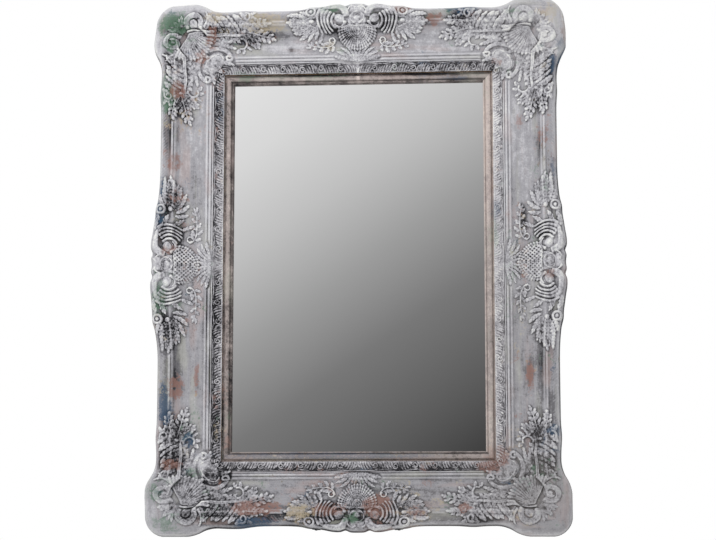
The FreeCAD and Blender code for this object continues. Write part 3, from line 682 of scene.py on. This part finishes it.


# Old paint that shows through the whitewash, read from the photograph, by colour: place, reach, strength
GREEN, BLUE, RUST, OCHRE = range(4)
old_paint = {
    GREEN: [
        (-386, 505, 36, 24, 1.0), (-386, 462, 16, 20, 1.0), (-395, 352, 22, 40, 0.9),
        (-55, 530, 40, 16, 0.8), (190, 520, 20, 12, 0.7), (320, 515, 26, 18, 0.6), (275, 60, 16, 40, 0.7),
        (310, -20, 14, 30, 0.5), (380, -510, 34, 22, 0.4), (-10, -510, 26, 16, 0.6),
        (-380, -520, 40, 26, 0.6), (-400, -460, 20, 26, 0.6), (-400, -70, 22, 40, 0.8),
        (-230, 392, 26, 12, 0.8), (-60, 395, 60, 10, 0.5), (-330, -420, 20, 14, 0.6)],
    BLUE: [
        (-389, -275, 10, 36, 1.0), (215, 525, 34, 16, 1.0), (412, 425, 12, 34, 1.0),
        (395, 405, 14, 30, 0.7), (280, 110, 14, 26, 0.8), (398, 190, 10, 26, 0.7),
        (390, -340, 16, 12, 0.9), (-205, -520, 40, 12, 1.0), (-385, -300, 14, 26, 1.0),
        (-340, -355, 10, 14, 0.9), (-405, 100, 14, 34, 0.8), (-400, 160, 14, 30, 0.7),
        (-280, 330, 10, 60, 0.5), (-60, -387, 220, 7, 1.0), (200, 385, 50, 6, 0.7)],
    RUST: [
        (-366, -250, 14, 24, 1.0), (-326, -230, 6, 34, 0.8), (-375, 210, 14, 18, 1.0),
        (330, 290, 10, 20, 0.7), (345, -225, 10, 34, 0.8), (-300, 470, 14, 26, 0.9),
        (-322, 434, 16, 20, 0.8), (-368, 362, 16, 18, 1.0), (-190, 470, 60, 10, 0.4),
        (92, 524, 16, 12, 1.0), (160, 500, 20, 14, 0.8), (422, 468, 8, 30, 0.8), (285, 415, 20, 10, 0.6),
        (335, 0, 14, 60, 0.5), (385, -28, 12, 12, 0.9), (380, 250, 26, 30, 0.5), (280, -390, 26, 24, 0.9),
        (262, -410, 30, 14, 0.8), (212, -492, 12, 12, 1.0), (120, -500, 30, 16, 0.6),
        (40, -490, 30, 26, 0.9), (-60, -495, 40, 14, 0.8), (-200, -490, 50, 14, 1.0),
        (-375, -405, 26, 12, 0.8), (-265, -360, 10, 30, 0.6), (-380, 30, 18, 16, 0.7),
        (-365, 140, 20, 30, 0.5), (60, 450, 40, 10, 0.3)],
    OCHRE: [
        (-292, 515, 26, 14, 0.8), (-190, 500, 50, 20, 0.8), (395, 515, 26, 26, 0.7),
        (-115, -500, 30, 20, 0.8), (-60, 450, 20, 14, 0.6), (-90, -395, 40, 10, 0.5)],
}


# Spots turned towards black, more strongly in hollows, and below zero lightened instead: place, reach, strength
blackening = [
    (-369, -205, 9, 55, 0.6), (-367, 270, 8, 22, 0.5), (370, 240, 9, 42, 0.6), (368, -205, 8, 48, 0.6),
    (-137, 447, 4, 5, 0.8), (152, 502, 12, 10, 0.7), (345, -225, 9, 30, 0.4), (-335, 180, 10, 50, 0.3),
    (-386, 500, 24, 18, 1.0), (-384, 462, 11, 15, 1.0), (-414, 250, 8, 84, 0.8), (-408, -170, 8, 46, 0.8),
    (412, 200, 7, 90, 0.5), (412, -220, 7, 80, 0.4), (-299, -225, 3, 44, 1.0), (-150, -528, 90, 7, 1.0),
    (-110, 528, 50, 7, 0.5), (140, 526, 50, 7, 0.5), (350, 470, 60, 60, -0.12), (287, 40, 9, 230, -0.35),
    (0, -505, 70, 22, 0.45), (-330, 512, 12, 9, 0.8), (-330, -505, 30, 10, 0.6),
    (-388, -500, 38, 34, -0.2), (396, 500, 36, 32, -0.2),
    (0, 400, 2.2, 16, -0.8), (-292, 0, 30, 14, -0.3), (-390, -38, 10, 12, -0.8), (392, 40, 8, 10, -0.8),
    (-318, -396, 12, 12, -0.9), (400, 430, 8, 10, -0.5), (340, 500, 14, 10, -0.7), (386, 462, 14, 12, -0.7),
    (-371, 490, 15, 10, 1.0), (-406, 490, 8, 10, 1.0), (-286, 488, 24, 9, 0.9), (-386, 460, 12, 14, 0.7),
    (-391, 423, 12, 22, 0.8), (-226, 466, 26, 12, 0.8), (-166, 478, 30, 10, 0.8), (-366, 333, 18, 32, 0.9),
    (-388, 278, 12, 44, 0.9), (211, 503, 22, 14, 0.9), (394, 388, 12, 28, 1.0), (371, 328, 16, 26, 0.6),
    (-205, -515, 60, 10, 0.9), (-286, -508, 26, 16, 0.9), (-276, -428, 20, 9, 1.0), (-300, -431, 8, 9, 1.0),
    (-376, -393, 18, 20, 1.0), (-366, -338, 18, 26, 0.8), (-284, -318, 8, 50, 0.8), (246, -518, 26, 8, 0.9),
    (371, -408, 22, 20, 0.9), (356, -348, 16, 22, 0.9), (-85, -514, 44, 9, 1.0), (60, -520, 26, 10, 1.0),
    (80, -490, 22, 10, 0.7), (-55, -490, 16, 10, 0.8), (-45, 483, 18, 8, 0.9), (-22, 473, 20, 10, 0.8),
    (55, 498, 18, 14, 0.9), (-398, 72, 8, 24, 0.9), (-366, 66, 12, 28, 0.8), (-376, -130, 14, 28, 1.0),
    (-378, 126, 12, 26, 0.9), (-306, -90, 6, 44, 0.7), (-286, -100, 8, 50, 0.8), (371, 60, 14, 18, 0.5),
    (337, 88, 6, 22, 0.8), (-286, 330, 8, 60, 0.6), (-60, 396, 150, 5, 0.8), (130, 396, 110, 5, 1.0),
]


# Where a dusty wash has dulled the carving
dust = [(345, -455, 95, 80, 0.5), (300, -150, 60, 200, 0.2),
        (350, 460, 80, 70, 0.25), (160, -500, 80, 40, 0.3)]


# Fading of a spot away from its middle
def spot(x, z, px, pz, rx, rz):
    return np.exp(-0.7 * (((x - px) / rx) ** 2 + ((z - pz) / rz) ** 2))


# Strongest of the spots at each place
def spotted(x, z, spots):
    got = np.zeros(x.shape)
    for *where, strength in spots:
        here = strength * spot(x, z, *where)
        got = np.where(np.abs(here) > np.abs(got), here, got)
    return got


# Amount of each old paint at each place: its spots, and faint patches anywhere
def tints(x, z):
    got = np.zeros(x.shape + (4,))
    px, pz, faint = x + 700, z + 1100, 0.36
    for channel, seed, bar in ((GREEN, 11, 0.66), (BLUE, 12, 0.68), (RUST, 13, 0.62), (OCHRE, 14, 0.68)):
        wide = noise(px, pz, 60.0, seed) * 0.6 + noise(px, pz, 22.0, seed + 20) * 0.4
        patches = np.clip((wide - bar) * 4, 0, faint)
        got[..., channel] = np.maximum(spotted(x, z, old_paint[channel]), patches)
    return got


# Mesh from points in millimetres and quads, with optional end caps of many corners
def mesh_of(name, co, quads, caps=()):
    quads = np.asarray(quads, np.int32)
    caps = [np.asarray(c, np.int32) for c in caps]
    loops = np.concatenate([quads.ravel()] + caps)
    sizes = np.array([4] * len(quads) + [len(c) for c in caps])
    starts = np.concatenate([[0], np.cumsum(sizes)[:-1]]).astype(np.int32)
    me = bpy.data.meshes.new(name)
    me.vertices.add(len(co))
    me.vertices.foreach_set("co", (np.asarray(co, float) * mm).astype(np.float32).ravel())
    me.loops.add(len(loops))
    me.loops.foreach_set("vertex_index", loops)
    me.polygons.add(len(starts))
    me.polygons.foreach_set("loop_start", starts)
    me.update(calc_edges=True)
    me.validate()
    return me


def attribute(me, name, values):
    values = np.asarray(values, np.float32)
    kind, field = ("FLOAT", "value")
    if values.ndim == 2:
        kind, field = ("FLOAT_VECTOR", "vector") if values.shape[1] == 3 else ("FLOAT_COLOR", "color")
    me.attributes.new(name, kind, "POINT").data.foreach_set(field, values.ravel())


# The old frame is not quite regular: place, shift and reach of its worn and swollen spots
uneven_spots = [(-414, 536, 11, -6, 75), (414, 536, -6, -4, 40), (408, 428, 7, 0, 35),
                (-262, -528, 0, -5, 45), (-404, -452, -5, 0, 35), (-403, -110, -4, 0, 45)]


def settled(co):
    x, z = co[:, 0].copy(), co[:, 2].copy()
    for px, pz, dx, dz, reach in uneven_spots:
        w = np.exp(-((x - px) ** 2 + (z - pz) ** 2) / reach ** 2)
        co[:, 0] += dx * w
        co[:, 2] += dz * w
    inside = 0.2
    return np.clip(co, np.array(cad_low) / mm + inside, np.array(cad_high) / mm - inside)


def linked(name, data):
    obj = bpy.data.objects.new(name, data)
    bpy.context.scene.collection.objects.link(obj)
    return obj


# Makes the piece that stands for a node, with what its paint needs to know at each point
def piece(node, me, materials, lane, recess=None, darkening=0.0):
    co = np.empty(len(me.vertices) * 3, np.float32)
    me.vertices.foreach_get("co", co)
    co = co.reshape(-1, 3).astype(float) / mm
    x, z = co[:, 0], co[:, 2]
    # Recess and broad hollow at each point, which the paint turns into painted shade and highlight; the extra
    # darkening, painted shade on some pieces, is added to the hollow
    fine = sample(fine_recess, x, z) if recess is None else recess
    broad = (sample(broad_recess, x, z) if recess is None else recess * 0) + darkening
    known = dict(recess=fine, hollow=broad, tint=tints(x, z), blackening=spotted(x, z, blackening),
                 dust=spotted(x, z, dust), lane=lane)
    for name, values in known.items():
        attribute(me, name, values)
    me.vertices.foreach_set("co", (settled(co) * mm).astype(np.float32).ravel())
    me.polygons.foreach_set("use_smooth", np.ones(len(me.polygons), bool))
    obj = linked("look_" + node, me)
    for m in materials:
        me.materials.append(m)
    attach(obj, "frame")
    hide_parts(node)


# Linear colour from display levels of 0 to 255
def srgb(*levels):
    shares = [v / 255 for v in levels]
    return tuple(v / 12.92 if v < 0.0404 else ((v + 0.055) / 1.055) ** 2.4 for v in shares) + (1.0,)


class Nodes:
    """A node tree under construction; values are numbers, colours or the sockets of other nodes."""

    def __init__(self, owner):
        owner.use_nodes = True
        self.tree = owner.node_tree
        self.tree.nodes.clear()

    def add(self, kind, inputs=(), **settings):
        n = self.tree.nodes.new("ShaderNode" + kind)
        for key, value in settings.items():
            setattr(n, key, value)
        for key, value in inputs:
            self.feed(n.inputs[key], value)
        return n

    def feed(self, socket, value):
        if isinstance(value, bpy.types.NodeSocket):
            self.tree.links.new(value, socket)
        else:
            socket.default_value = value

    def math(self, operation, *values):
        return self.add("Math", enumerate(values), operation=operation).outputs[0]

    def span(self, value, low, high, to_low=0.0, to_high=1.0):
        return self.add("MapRange", enumerate((value, low, high, to_low, to_high))).outputs[0]

    def mix(self, share, a, b):
        return self.add("Mix", ((0, share), (6, a), (7, b)), data_type="RGBA").outputs[2]

    def ramp(self, value, stops):
        n = self.add("ValToRGB", [(0, value)])
        while len(n.color_ramp.elements) < len(stops):
            n.color_ramp.elements.new(0.5)
        for element, (at, colour) in zip(n.color_ramp.elements, stops):
            element.position, element.color = at, colour
        return n.outputs[0]

    def total(self, start, *parts):
        for value, weight in parts:
            start = self.math("MULTIPLY_ADD", value, weight, start)
        return start

    def xyz(self, vector):
        return self.add("SeparateXYZ", [(0, vector)]).outputs


class Look(Nodes):
    """A material with a Principled shader."""

    def __init__(self, name, **values):
        self.material = bpy.data.materials.new(name)
        super().__init__(self.material)
        self.shader = self.add("BsdfPrincipled")
        self.add("OutputMaterial", [(0, self.shader.outputs[0])])
        self.place = self.add("TexCoord").outputs["Object"]
        self.set(**values)

    def set(self, **values):
        for socket, value in values.items():
            self.feed(self.shader.inputs[socket.replace("_", " ")], value)

    def noise(self, scale, detail, rough=0.5, at=None):
        inputs = dict(Vector=at or self.place, Scale=scale, Detail=detail, Roughness=rough)
        return self.add("TexNoise", inputs.items()).outputs["Fac"]

    # Noise drawn out along the lanes of a piece
    def streaks(self, stretch, detail, rough, lanes=None):
        lanes = lanes or self.attribute("lane")["Vector"]
        n = self.add("VectorMath", ((0, lanes), (1, stretch)), operation="MULTIPLY")
        return self.noise(1.0, detail, rough, n.outputs[0])

    def attribute(self, name):
        return self.add("Attribute", attribute_name=name).outputs

    def bump(self, height, depth):
        n = self.add("Bump", dict(Distance=depth, Strength=1.0, Height=height).items())
        self.set(Normal=n.outputs[0])


# Colours of the whitewash from bare ground and deepest painted shade to thick white and painted highlight, and
# of the old paints under it
wash_steps = ((0.0, (30, 30, 33)), (0.18, (50, 50, 54)), (0.25, (92, 91, 95)), (0.38, (112, 111, 115)),
              (0.44, (144, 143, 148)), (0.6, (164, 163, 168)), (0.66, (184, 183, 188)),
              (0.84, (200, 200, 203)), (0.9, (214, 214, 214)), (1.0, (226, 226, 224)))
paint_colours = {GREEN: srgb(82, 110, 90), BLUE: srgb(52, 76, 100),
                 RUST: srgb(137, 104, 95), OCHRE: srgb(170, 158, 136)}
dust_colour, warm_wash, cool_wash = srgb(140, 136, 134), srgb(174, 156, 153), srgb(172, 172, 162)


# Flaking whitewash over dark ground: it lies in steps, and its worn flakes show the colours under it. Painted
# shade darkens the hollows and a painted highlight lightens the ridges. How light it is, how strong that
# painted shade and highlight are (cut), how much it flakes and is smeared along the piece, how much old paint
# shows, and how much painted shade darkens it towards the foot (foot_shade)
def whitewash(name, light, flaky, old, foot_shade, cut=1.0, smeared=0.0, hue=(1.0, 1.0, 1.0)):
    k = Look(name)
    deep = k.attribute("recess")["Fac"]
    # Broader painted shade in the wider hollows, with the extra darkening that some pieces add to it
    hollow = k.span(k.attribute("hollow")["Fac"], -3.0, 6.0, -2.0, 6.0)
    grain, flake = k.noise(330, 3, 0.65), k.noise(85, 6, 0.74)
    broad, cloud = k.noise(26, 4, 0.6), k.noise(9, 3, 0.6)
    brush = k.streaks((18.0, 320.0, 1.0), 5, 0.7)
    smear = k.streaks((9.0, 70.0, 1.0), 4, 0.6)
    streak = k.streaks((7.0, 34.0, 3.0), 3, 0.55)
    # Painted shade that darkens the pieces towards the bottom of the frame
    low = k.span(k.xyz(k.place)[2], 0.35, -0.5)
    uneven = k.span(broad, 0.35, 0.65, 0.6, 1.25)
    # Painted shade in the hollows and painted highlight on the ridges, by how deep each point lies below its
    # surroundings
    recess = k.math("MULTIPLY", k.span(deep, -1.2, 1.2, -0.45, 1.35), uneven)
    sunk = k.span(deep, -0.4, 0.6)
    # Blackening of the spots, stronger where the point lies deep
    black = k.math("MULTIPLY", k.attribute("blackening")["Fac"], k.total(0.4, (sunk, 0.6)))
    parts = ((grain, 0.5 * flaky), (flake, 0.9 * flaky), (broad, 0.5 * (1 - smeared)),
             (smear, 0.45 * smeared), (brush, 0.24 * smeared), (cloud, 0.25))
    start = light + 0.11 * cut - 0.5 * sum(weight for _, weight in parts)
    white = k.total(start, *parts, (recess, -0.26 * cut), (hollow, -0.05), (low, -foot_shade), (black, -0.6))
    colour = k.ramp(white, [(at, srgb(*(v * h for v, h in zip(rgb, hue)))) for at, rgb in wash_steps])
    worn = k.span(white, 0.85, 0.45, 0.4, 1.0)
    dulled = k.math("MULTIPLY", k.attribute("dust")["Fac"], k.span(broad, 0.35, 0.65, 0.6, 1.0))
    colour = k.mix(dulled, colour, dust_colour)
    for none, full, wash in ((0.54, 0.68, warm_wash), (0.45, 0.32, cool_wash)):
        colour = k.mix(k.span(streak, none, full, 0.0, 0.45 * smeared), colour, wash)
    tint = k.attribute("tint")
    amounts = [*k.add("SeparateColor", [(0, tint["Color"])]).outputs, tint["Alpha"]]
    for channel, paint in paint_colours.items():
        spread = k.span(amounts[channel], 0.0, 0.7, -0.33, 0.68)
        broken = k.total(-2.35, (spread, 1.0), (flake, 3.0), (smear, 0.8), (grain, 0.9))
        share = k.math("MULTIPLY", k.span(broken, 0.3, 0.6), worn)
        colour = k.mix(k.math("MULTIPLY", share, old), colour, paint)
    k.set(Base_Color=colour, Roughness=k.span(flake, 0.3, 0.7, 0.68, 0.88), Specular_IOR_Level=0.25)
    k.bump(k.total(flake, (grain, 0.4), (brush, 0.3)), 0.0008)
    return k.material


rail_paint = whitewash("rail_paint", 0.66, flaky=0.6, old=0.85, foot_shade=0.13, cut=0.65, smeared=1.0)
carved_paint = whitewash("carved_paint", 0.65, flaky=1.5, old=0.85, foot_shade=0.13)
band_paint = whitewash("band_paint", 0.56, flaky=1.4, old=0.7, foot_shade=0.1, cut=0.9, hue=(1.0, 0.996, 0.994))
slip_paint = whitewash("slip_paint", 0.62, flaky=0.8, old=0.55, foot_shade=0.1, smeared=0.8, hue=(1.03, 0.97, 0.92))


# Plain material that varies between two colours with a texture, which also raises its surface
def varied(k, texture, low, high, dark, light, rough, depth):
    share = k.span(texture, low, high)
    k.set(Base_Color=k.mix(share, dark, light), Roughness=rough)
    k.bump(texture, depth)
    return k.material


def raw_wood():
    k = Look("raw_wood")
    grain = k.streaks((9.0, 260.0, 1.0), 5, 0.6)
    return varied(k, grain, 0.35, 0.65, srgb(128, 98, 70), srgb(168, 138, 104), 0.8, 0.0006)


bare_wood = raw_wood()

# Sides: how a length along and a distance out become places in the shared frame
SIDES = {
    "top": (TOP, lambda s, u: (s, half_h + u)),
    "bottom": (TOP, lambda s, u: (s, -half_h - u)),
    "right": (FLANK, lambda s, u: (half_w + u, s)),
    "left": (FLANK, lambda s, u: (-half_w - u, s)),
}
# Sides whose layout is a mirror image, so that their faces are wound the other way
mirrored = {"top": False, "bottom": True, "right": True, "left": False}


def grid_quads(n, m, flip, closed):
    i, j = np.meshgrid(np.arange(n - 1), np.arange(m if closed else m - 1), indexing="ij")
    after = (j + 1) % m
    quads = np.stack([i * m + j, (i + 1) * m + j, (i + 1) * m + after, i * m + after], -1).reshape(-1, 4)
    return quads[:, ::-1] if flip else quads


# Mesh of a section carried along one side, s along, u out and h high, and the lanes of its grain.
# A closed section gets end caps
def swept(name, key, s, u, h, closed):
    x, z = SIDES[key][1](s, u)
    n, m = s.shape
    flip = mirrored[key]
    first, last = np.arange(m), (n - 1) * m + np.arange(m)
    caps = [first, last[::-1]] if flip else [first[::-1], last]
    quads = grid_quads(n, m, not flip, closed)
    me = mesh_of(name, np.stack([x, -h, z], -1).reshape(-1, 3), quads, caps if closed else ())
    return me, np.stack([s * mm, u * mm, 0 * s + len(key)], -1).reshape(-1, 3)


# Stations along one side's outline, as shares of the mitred length with the face there
def outline(side, spacing):
    half, c = side["half"], corner_face - corner_r
    s = np.linspace(0, half + c, int((half + c) / spacing))
    phi = np.linspace(0, math.pi / 4, 26)[1:]
    u = np.concatenate([face(s, side), c + corner_r * np.cos(phi)])
    s = np.concatenate([s, half + c + corner_r * np.sin(phi)])
    share = np.minimum(s / (half + u), 1.0)
    return np.concatenate([-share[:0:-1], share]), np.concatenate([u[:0:-1], u])


# Rail: rebate and bed of the band, then the moulding to the rim, then the flat back
def build_rail(key):
    side, place = SIDES[key]
    share, F = (row[:, None] for row in outline(side, 1.3))
    n, scoop_out = len(F), 116
    inner = np.concatenate([np.linspace(band_out, 44, 6)[:-1], np.linspace(44, scoop_in, 15)[:-1],
                            np.linspace(scoop_in, scoop_out, 30)])
    shelf = scoop_out + (F - rim_w - scoop_out) * np.array([0.34, 0.67])
    rim_rows = np.concatenate([np.linspace(-rim_w, -22.5, 7), np.linspace(-21.5, -4, 15),
                               (-3, -2, -1, -0.4, 0)])
    u = np.concatenate([np.broadcast_to(inner, (n, len(inner))), shelf, F + rim_rows], 1)
    s = share * (side["half"] + u)
    h = base_side(s, u, side) - sample(cut_down, *place(s, u))
    rebate_u, rebate_h, back_h = [28.0, 28, 20, 20, 40], [5.0, 18, 18, 24, 30], [0.0, 0, 5]
    back_u = np.concatenate([F - 6, band_out + 0 * F, band_out + 0 * F], 1)
    u = np.concatenate([np.broadcast_to(rebate_u, (n, 5)), u, back_u], 1)
    h = np.concatenate([np.broadcast_to(rebate_h, (n, 5)), h, np.broadcast_to(back_h, (n, 3))], 1)
    s = share * (side["half"] + u)
    me, lane = swept("rail_" + key, key, s, u, h, True)
    # Darker along the rim, and painted shade on the outer lip of the rail
    on_rim = smooth((u - F + 24) / 5) * (1 - smooth((np.abs(s) - side["half"] - 20) / 40))
    darkening = 4.2 * on_rim + 1.8 * smooth((u - F + 5) / 4)
    piece("rail_" + key, me, [rail_paint, bare_wood], lane, darkening=darkening.ravel())
    m = u.shape[1]
    row = np.tile(np.arange(m), n - 1)
    behind = (row >= m - 4) | (row < 4)
    me.polygons.foreach_set("material_index", np.concatenate([behind, [True, True]]).astype(np.int32))
    me.set_sharp_from_angle(angle=math.radians(50))


# Painted shade on the loose frame by side: in its grooves, along its inner edge, and all over, where below zero
# it lightens
slip_side_shade = {"top": (0.9, 1.3, 0.2), "left": (0.9, 1.0, 0.3),
              "right": (0.45, -0.5, -0.4), "bottom": (0.8, 0.4, -0.1)}


# Small loose frame at the sight edge: lip, groove and rounded fillet
def build_slip(key):
    bead = [(10.75 - 5.25 * math.cos(a), 20 + 3 * math.sin(a)) for a in np.linspace(0, math.pi, 13)]
    loop = [(0, 10.5), (0.4, 17.5), (1.3, 19.6), (2.4, 20), (3.4, 19.2), (4.2, 17.8), (5.5, 17.5)]
    u, h = np.array(loop + bead + [(16, 18), (27.7, 18), (27.7, 10.5)]).T
    # Painted shade in the grooves and along the inner edge, and by side all over
    groove = np.exp(-((u - 4.6) / 1.4) ** 2) + np.exp(-((u - 17.5) / 2.4) ** 2)
    inner = np.exp(-((u - 3.0) / 4.0) ** 4)
    in_grooves, at_edge, all_over = slip_side_shade[key]
    deep = in_grooves * groove + at_edge * inner + all_over
    stations = 160
    s = np.linspace(-1, 1, stations)[:, None] * (SIDES[key][0]["half"] + u[None])
    me, lane = swept("slip_" + key, key, s, u + 0 * s, h + 0 * s, True)
    piece("slip_" + key, me, [slip_paint], lane, np.tile(deep, stations))
    me.set_sharp_from_angle(angle=math.radians(40))


# Painted shade by side: the bands of the top and bottom are darkened, the left one less, and the right one is
# lightened
band_side_shade = {"top": 2.6, "bottom": 2.8, "left": 1.2, "right": -1.4}


# Leaf band on its sloping bed, with its edges turned down into it
def build_band(key):
    side = SIDES[key][0]
    u = np.concatenate([[band_in], np.linspace(band_in, band_out, 27), [band_out]])[None]
    s = np.linspace(-1, 1, int(2 * side["half"] / 0.7))[:, None] * (side["half"] + u)
    u = u + 0 * s
    slope = 24 + 0.3 * (u - band_in)
    h = slope + bed + band_relief(s, u, side)
    h[:, 0], h[:, -1] = slope[:, 0] - 0.4, slope[:, -1] - 0.4
    me, lane = swept("leaf_band_" + key, key, s, u, h, False)
    piece("leaf_band_" + key, me, [band_paint], lane, darkening=band_side_shade[key])


# Turns the patches of one carving into the mesh of a node, in each of the given mirrorings. The part of a
# patch that lies under the moulding is left out
def build_carving(node, parts, turns):
    co, quads, lane, count, hidden = [], [], [], 0, 1.4
    for P, key in parts:
        top, bare = carved_top(P, key)
        live = top > bare - hidden
        use = live[:-1, :-1] | live[1:, :-1] | live[1:, 1:] | live[:-1, 1:]
        held = np.zeros(top.shape, bool)
        for di in (0, 1):
            for dj in (0, 1):
                held[di:di + use.shape[0], dj:dj + use.shape[1]] |= use
        index = np.full(top.shape, -1)
        index[held] = np.arange(held.sum())
        ring = np.stack([index[:-1, :-1], index[1:, :-1], index[1:, 1:], index[:-1, 1:]], -1)[use]
        x, z = place_of(P.X[held], P.Y[held], key)
        for sx, sz in turns:
            odd = (sx * sz < 0) != (key == "right")
            co.append(np.stack([sx * x, -top[held], sz * z], 1))
            quads.append((ring[:, ::-1] if odd else ring) + count)
            lane.append(np.stack([P.X[held] * mm, P.Y[held] * mm, np.full(len(x), len(node))], 1))
            count += len(x)
    me = mesh_of(node, np.concatenate(co), np.concatenate(quads))
    piece(node, me, [carved_paint], np.concatenate(lane))


for key in SIDES:
    build_rail(key)
    build_slip(key)
    build_band(key)
    model = "top" if key in ("top", "bottom") else "right"
    sign = 1 if key == model else -1
    pair = [(1, sign), (-1, sign)] if model == "top" else [(sign, 1), (sign, -1)]
    for name in ("wings", "middle_leaves", "sprigs", "reed_curls"):
        build_carving(name + "_" + key, carvings[name + "_" + model], pair)
    build_carving("palmette_" + key, carvings["palmette_" + model], pair[:1])
for name in ("corner_shell", "corner_scrolls", "corner_leaves", "corner_cartouche"):
    for up, sz in (("top", 1), ("bottom", -1)):
        for hand, sx in (("right", 1), ("left", -1)):
            build_carving(f"{name}_{up}_{hand}", carvings[name], [(sx, sz)])


# Nodes whose solid shape is right keep it and only take a material
def mirror_silver():
    k = Look("mirror_silver", Base_Color=srgb(248, 248, 248), Metallic=1.0)
    k.set(Roughness=k.span(k.noise(30, 3), 0.3, 0.7, 0.012, 0.03))
    k.bump(k.noise(6, 1), 0.00002)
    return k.material


def board(name, dark, light, scale, depth):
    k = Look(name)
    fibre = k.noise(scale, 4, 0.65)
    rough = k.span(fibre, 0.3, 0.7, 0.7, 0.9)
    return varied(k, fibre, 0.32, 0.68, dark, light, rough, depth)


def steel(name, dark, light):
    k = Look(name, Metallic=1.0)
    brushed = k.streaks((900.0, 900.0, 60.0), 3, 0.6, k.place)
    rough = k.span(brushed, 0.3, 0.7, 0.28, 0.45)
    return varied(k, brushed, 0.3, 0.7, dark, light, rough, 0.00008)


kept = {
    mirror_silver(): ["mirror_glass"],
    board("card_grey", srgb(136, 126, 112), srgb(164, 153, 136), 260, 0.0002): ["backing_card"],
    board("hardboard", srgb(96, 66, 42), srgb(128, 92, 62), 340, 0.0003): ["back_panel"],
    steel("screw_steel", srgb(150, 146, 136), srgb(188, 184, 174)):
        ["panel_screws", "mitre_nails", "hanger_screws"],
    steel("hanger_steel", srgb(170, 164, 146), srgb(205, 200, 184)):
        ["hanger_strap_right", "hanger_strap_left", "hanger_ring_right", "hanger_ring_left"],
    board("rubber", srgb(34, 33, 33), srgb(48, 47, 46), 800, 0.0001): ["wall_bumpers"],
}
for material, names in kept.items():
    for name in names:
        nodes[name].data.materials.clear()
        nodes[name].data.materials.append(material)

# Camera, as the photograph was taken: focal length and picture width in pixels, angles in degrees, place
photo_focal, photo_width, sensor = 2000.0, 716.0, 36.0
tilt, swing, roll = (math.radians(a) for a in (-8.22, 3.97, -0.57))
camera_at = (0.281, -4.03, -0.590)
turned = Matrix.Rotation(roll, 3, "Z") @ Matrix.Rotation(swing, 3, "Y") @ Matrix.Rotation(tilt, 3, "X")
right, down, forward = ((v[0], v[2], -v[1]) for v in turned)
lens = bpy.data.cameras.new("camera")
lens.sensor_width = sensor
lens.lens = photo_focal / photo_width * sensor
camera = linked("camera", lens)
axes = Matrix((right, [-v for v in down], [-v for v in forward])).transposed().to_4x4()
camera.matrix_world = Matrix.Translation(camera_at) @ axes
bpy.context.scene.camera = camera


def grey(v):
    return (v, v, v, 1.0)


# Surroundings: white to the camera, a soft room for the mirror, even light for the rest.
# The room darkens downwards and to the right of what the mirror shows
def build_world():
    world = bpy.data.worlds.new("room")
    bpy.context.scene.world = world
    k = Nodes(world)
    x, y, z = k.xyz(k.add("TexCoord").outputs["Generated"])
    ahead = k.math("MAXIMUM", k.math("MULTIPLY", y, -1.0), 0.05)
    across, up = k.math("DIVIDE", x, ahead), k.math("DIVIDE", z, ahead)
    lowest, rise, rightmost, run = 0.053, 0.188, -0.006, 0.127
    by_height, by_side = 0.68 / rise, 0.32 / run
    level = k.math("ADD", k.math("MULTIPLY", k.math("SUBTRACT", up, lowest), by_height),
                   k.math("MULTIPLY", k.math("SUBTRACT", rightmost, across), by_side))
    greys = ((0.0, 65), (0.33, 123), (0.5, 161), (0.67, 196), (0.85, 221), (1.0, 232))
    room = k.ramp(level, [(at, srgb(v, v, v)) for at, v in greys])
    room = k.mix(k.math("GREATER_THAN", y, 0.0), room, grey(0.6))
    soft = k.mix(k.math("ADD", k.math("MULTIPLY", z, 0.5), 0.5), grey(0.4), grey(0.72))
    path = k.add("LightPath").outputs
    seen = k.mix(path["Is Camera Ray"], k.mix(path["Is Glossy Ray"], soft, room), grey(1.0))
    shade = k.add("Background", [(0, seen)])
    k.add("OutputWorld", [(0, shade.outputs[0])])


build_world()


def area_light(name, at, aim, size, power):
    lamp = bpy.data.lights.new(name, "AREA")
    lamp.size, lamp.energy = size, power
    obj = linked(name, lamp)
    toward = np.array(aim, float) - np.array(at, float)
    z = -toward / np.linalg.norm(toward)
    x = np.cross((0, 0, 1), z)
    x = x / np.linalg.norm(x)
    y = np.cross(z, x)
    obj.matrix_world = Matrix.Translation(at) @ Matrix(np.stack([x, y, z], 1).tolist()).to_4x4()
    obj.visible_glossy = False


area_light("key", at=(-0.7, -2.1, 1.0), aim=(0, 0, 0.2), size=1.4, power=34)
area_light("back_fill", at=(1.4, 2.6, 1.6), aim=(0, 0, 0), size=2.0, power=40)

# Floor for the other views; the photograph shows none
far, low = 6000, -950
floor_corners = [(-far, -far, low), (far, -far, low), (far, far, low), (-far, far, low)]
floor_mesh = mesh_of("floor", floor_corners, [(0, 1, 2, 3)])
floor = linked("floor", floor_mesh)
pale = Look("floor_pale", Roughness=0.9)
pale.set(Base_Color=pale.mix(pale.noise(3, 2), srgb(228, 228, 227), srgb(234, 234, 233)))
floor_mesh.materials.append(pale.material)

bpy.context.scene.view_settings.view_transform = "Standard"

# Corners of each mesh that is shown, other than the floor
bpy.context.view_layer.update()
corners = []
for obj in bpy.data.objects:
    if obj.type == "MESH" and obj is not floor and not obj.hide_render:
        co = np.empty(len(obj.data.vertices) * 3, np.float32)
        obj.data.vertices.foreach_get("co", co)
        corners += [co.reshape(-1, 3).min(0), co.reshape(-1, 3).max(0)]
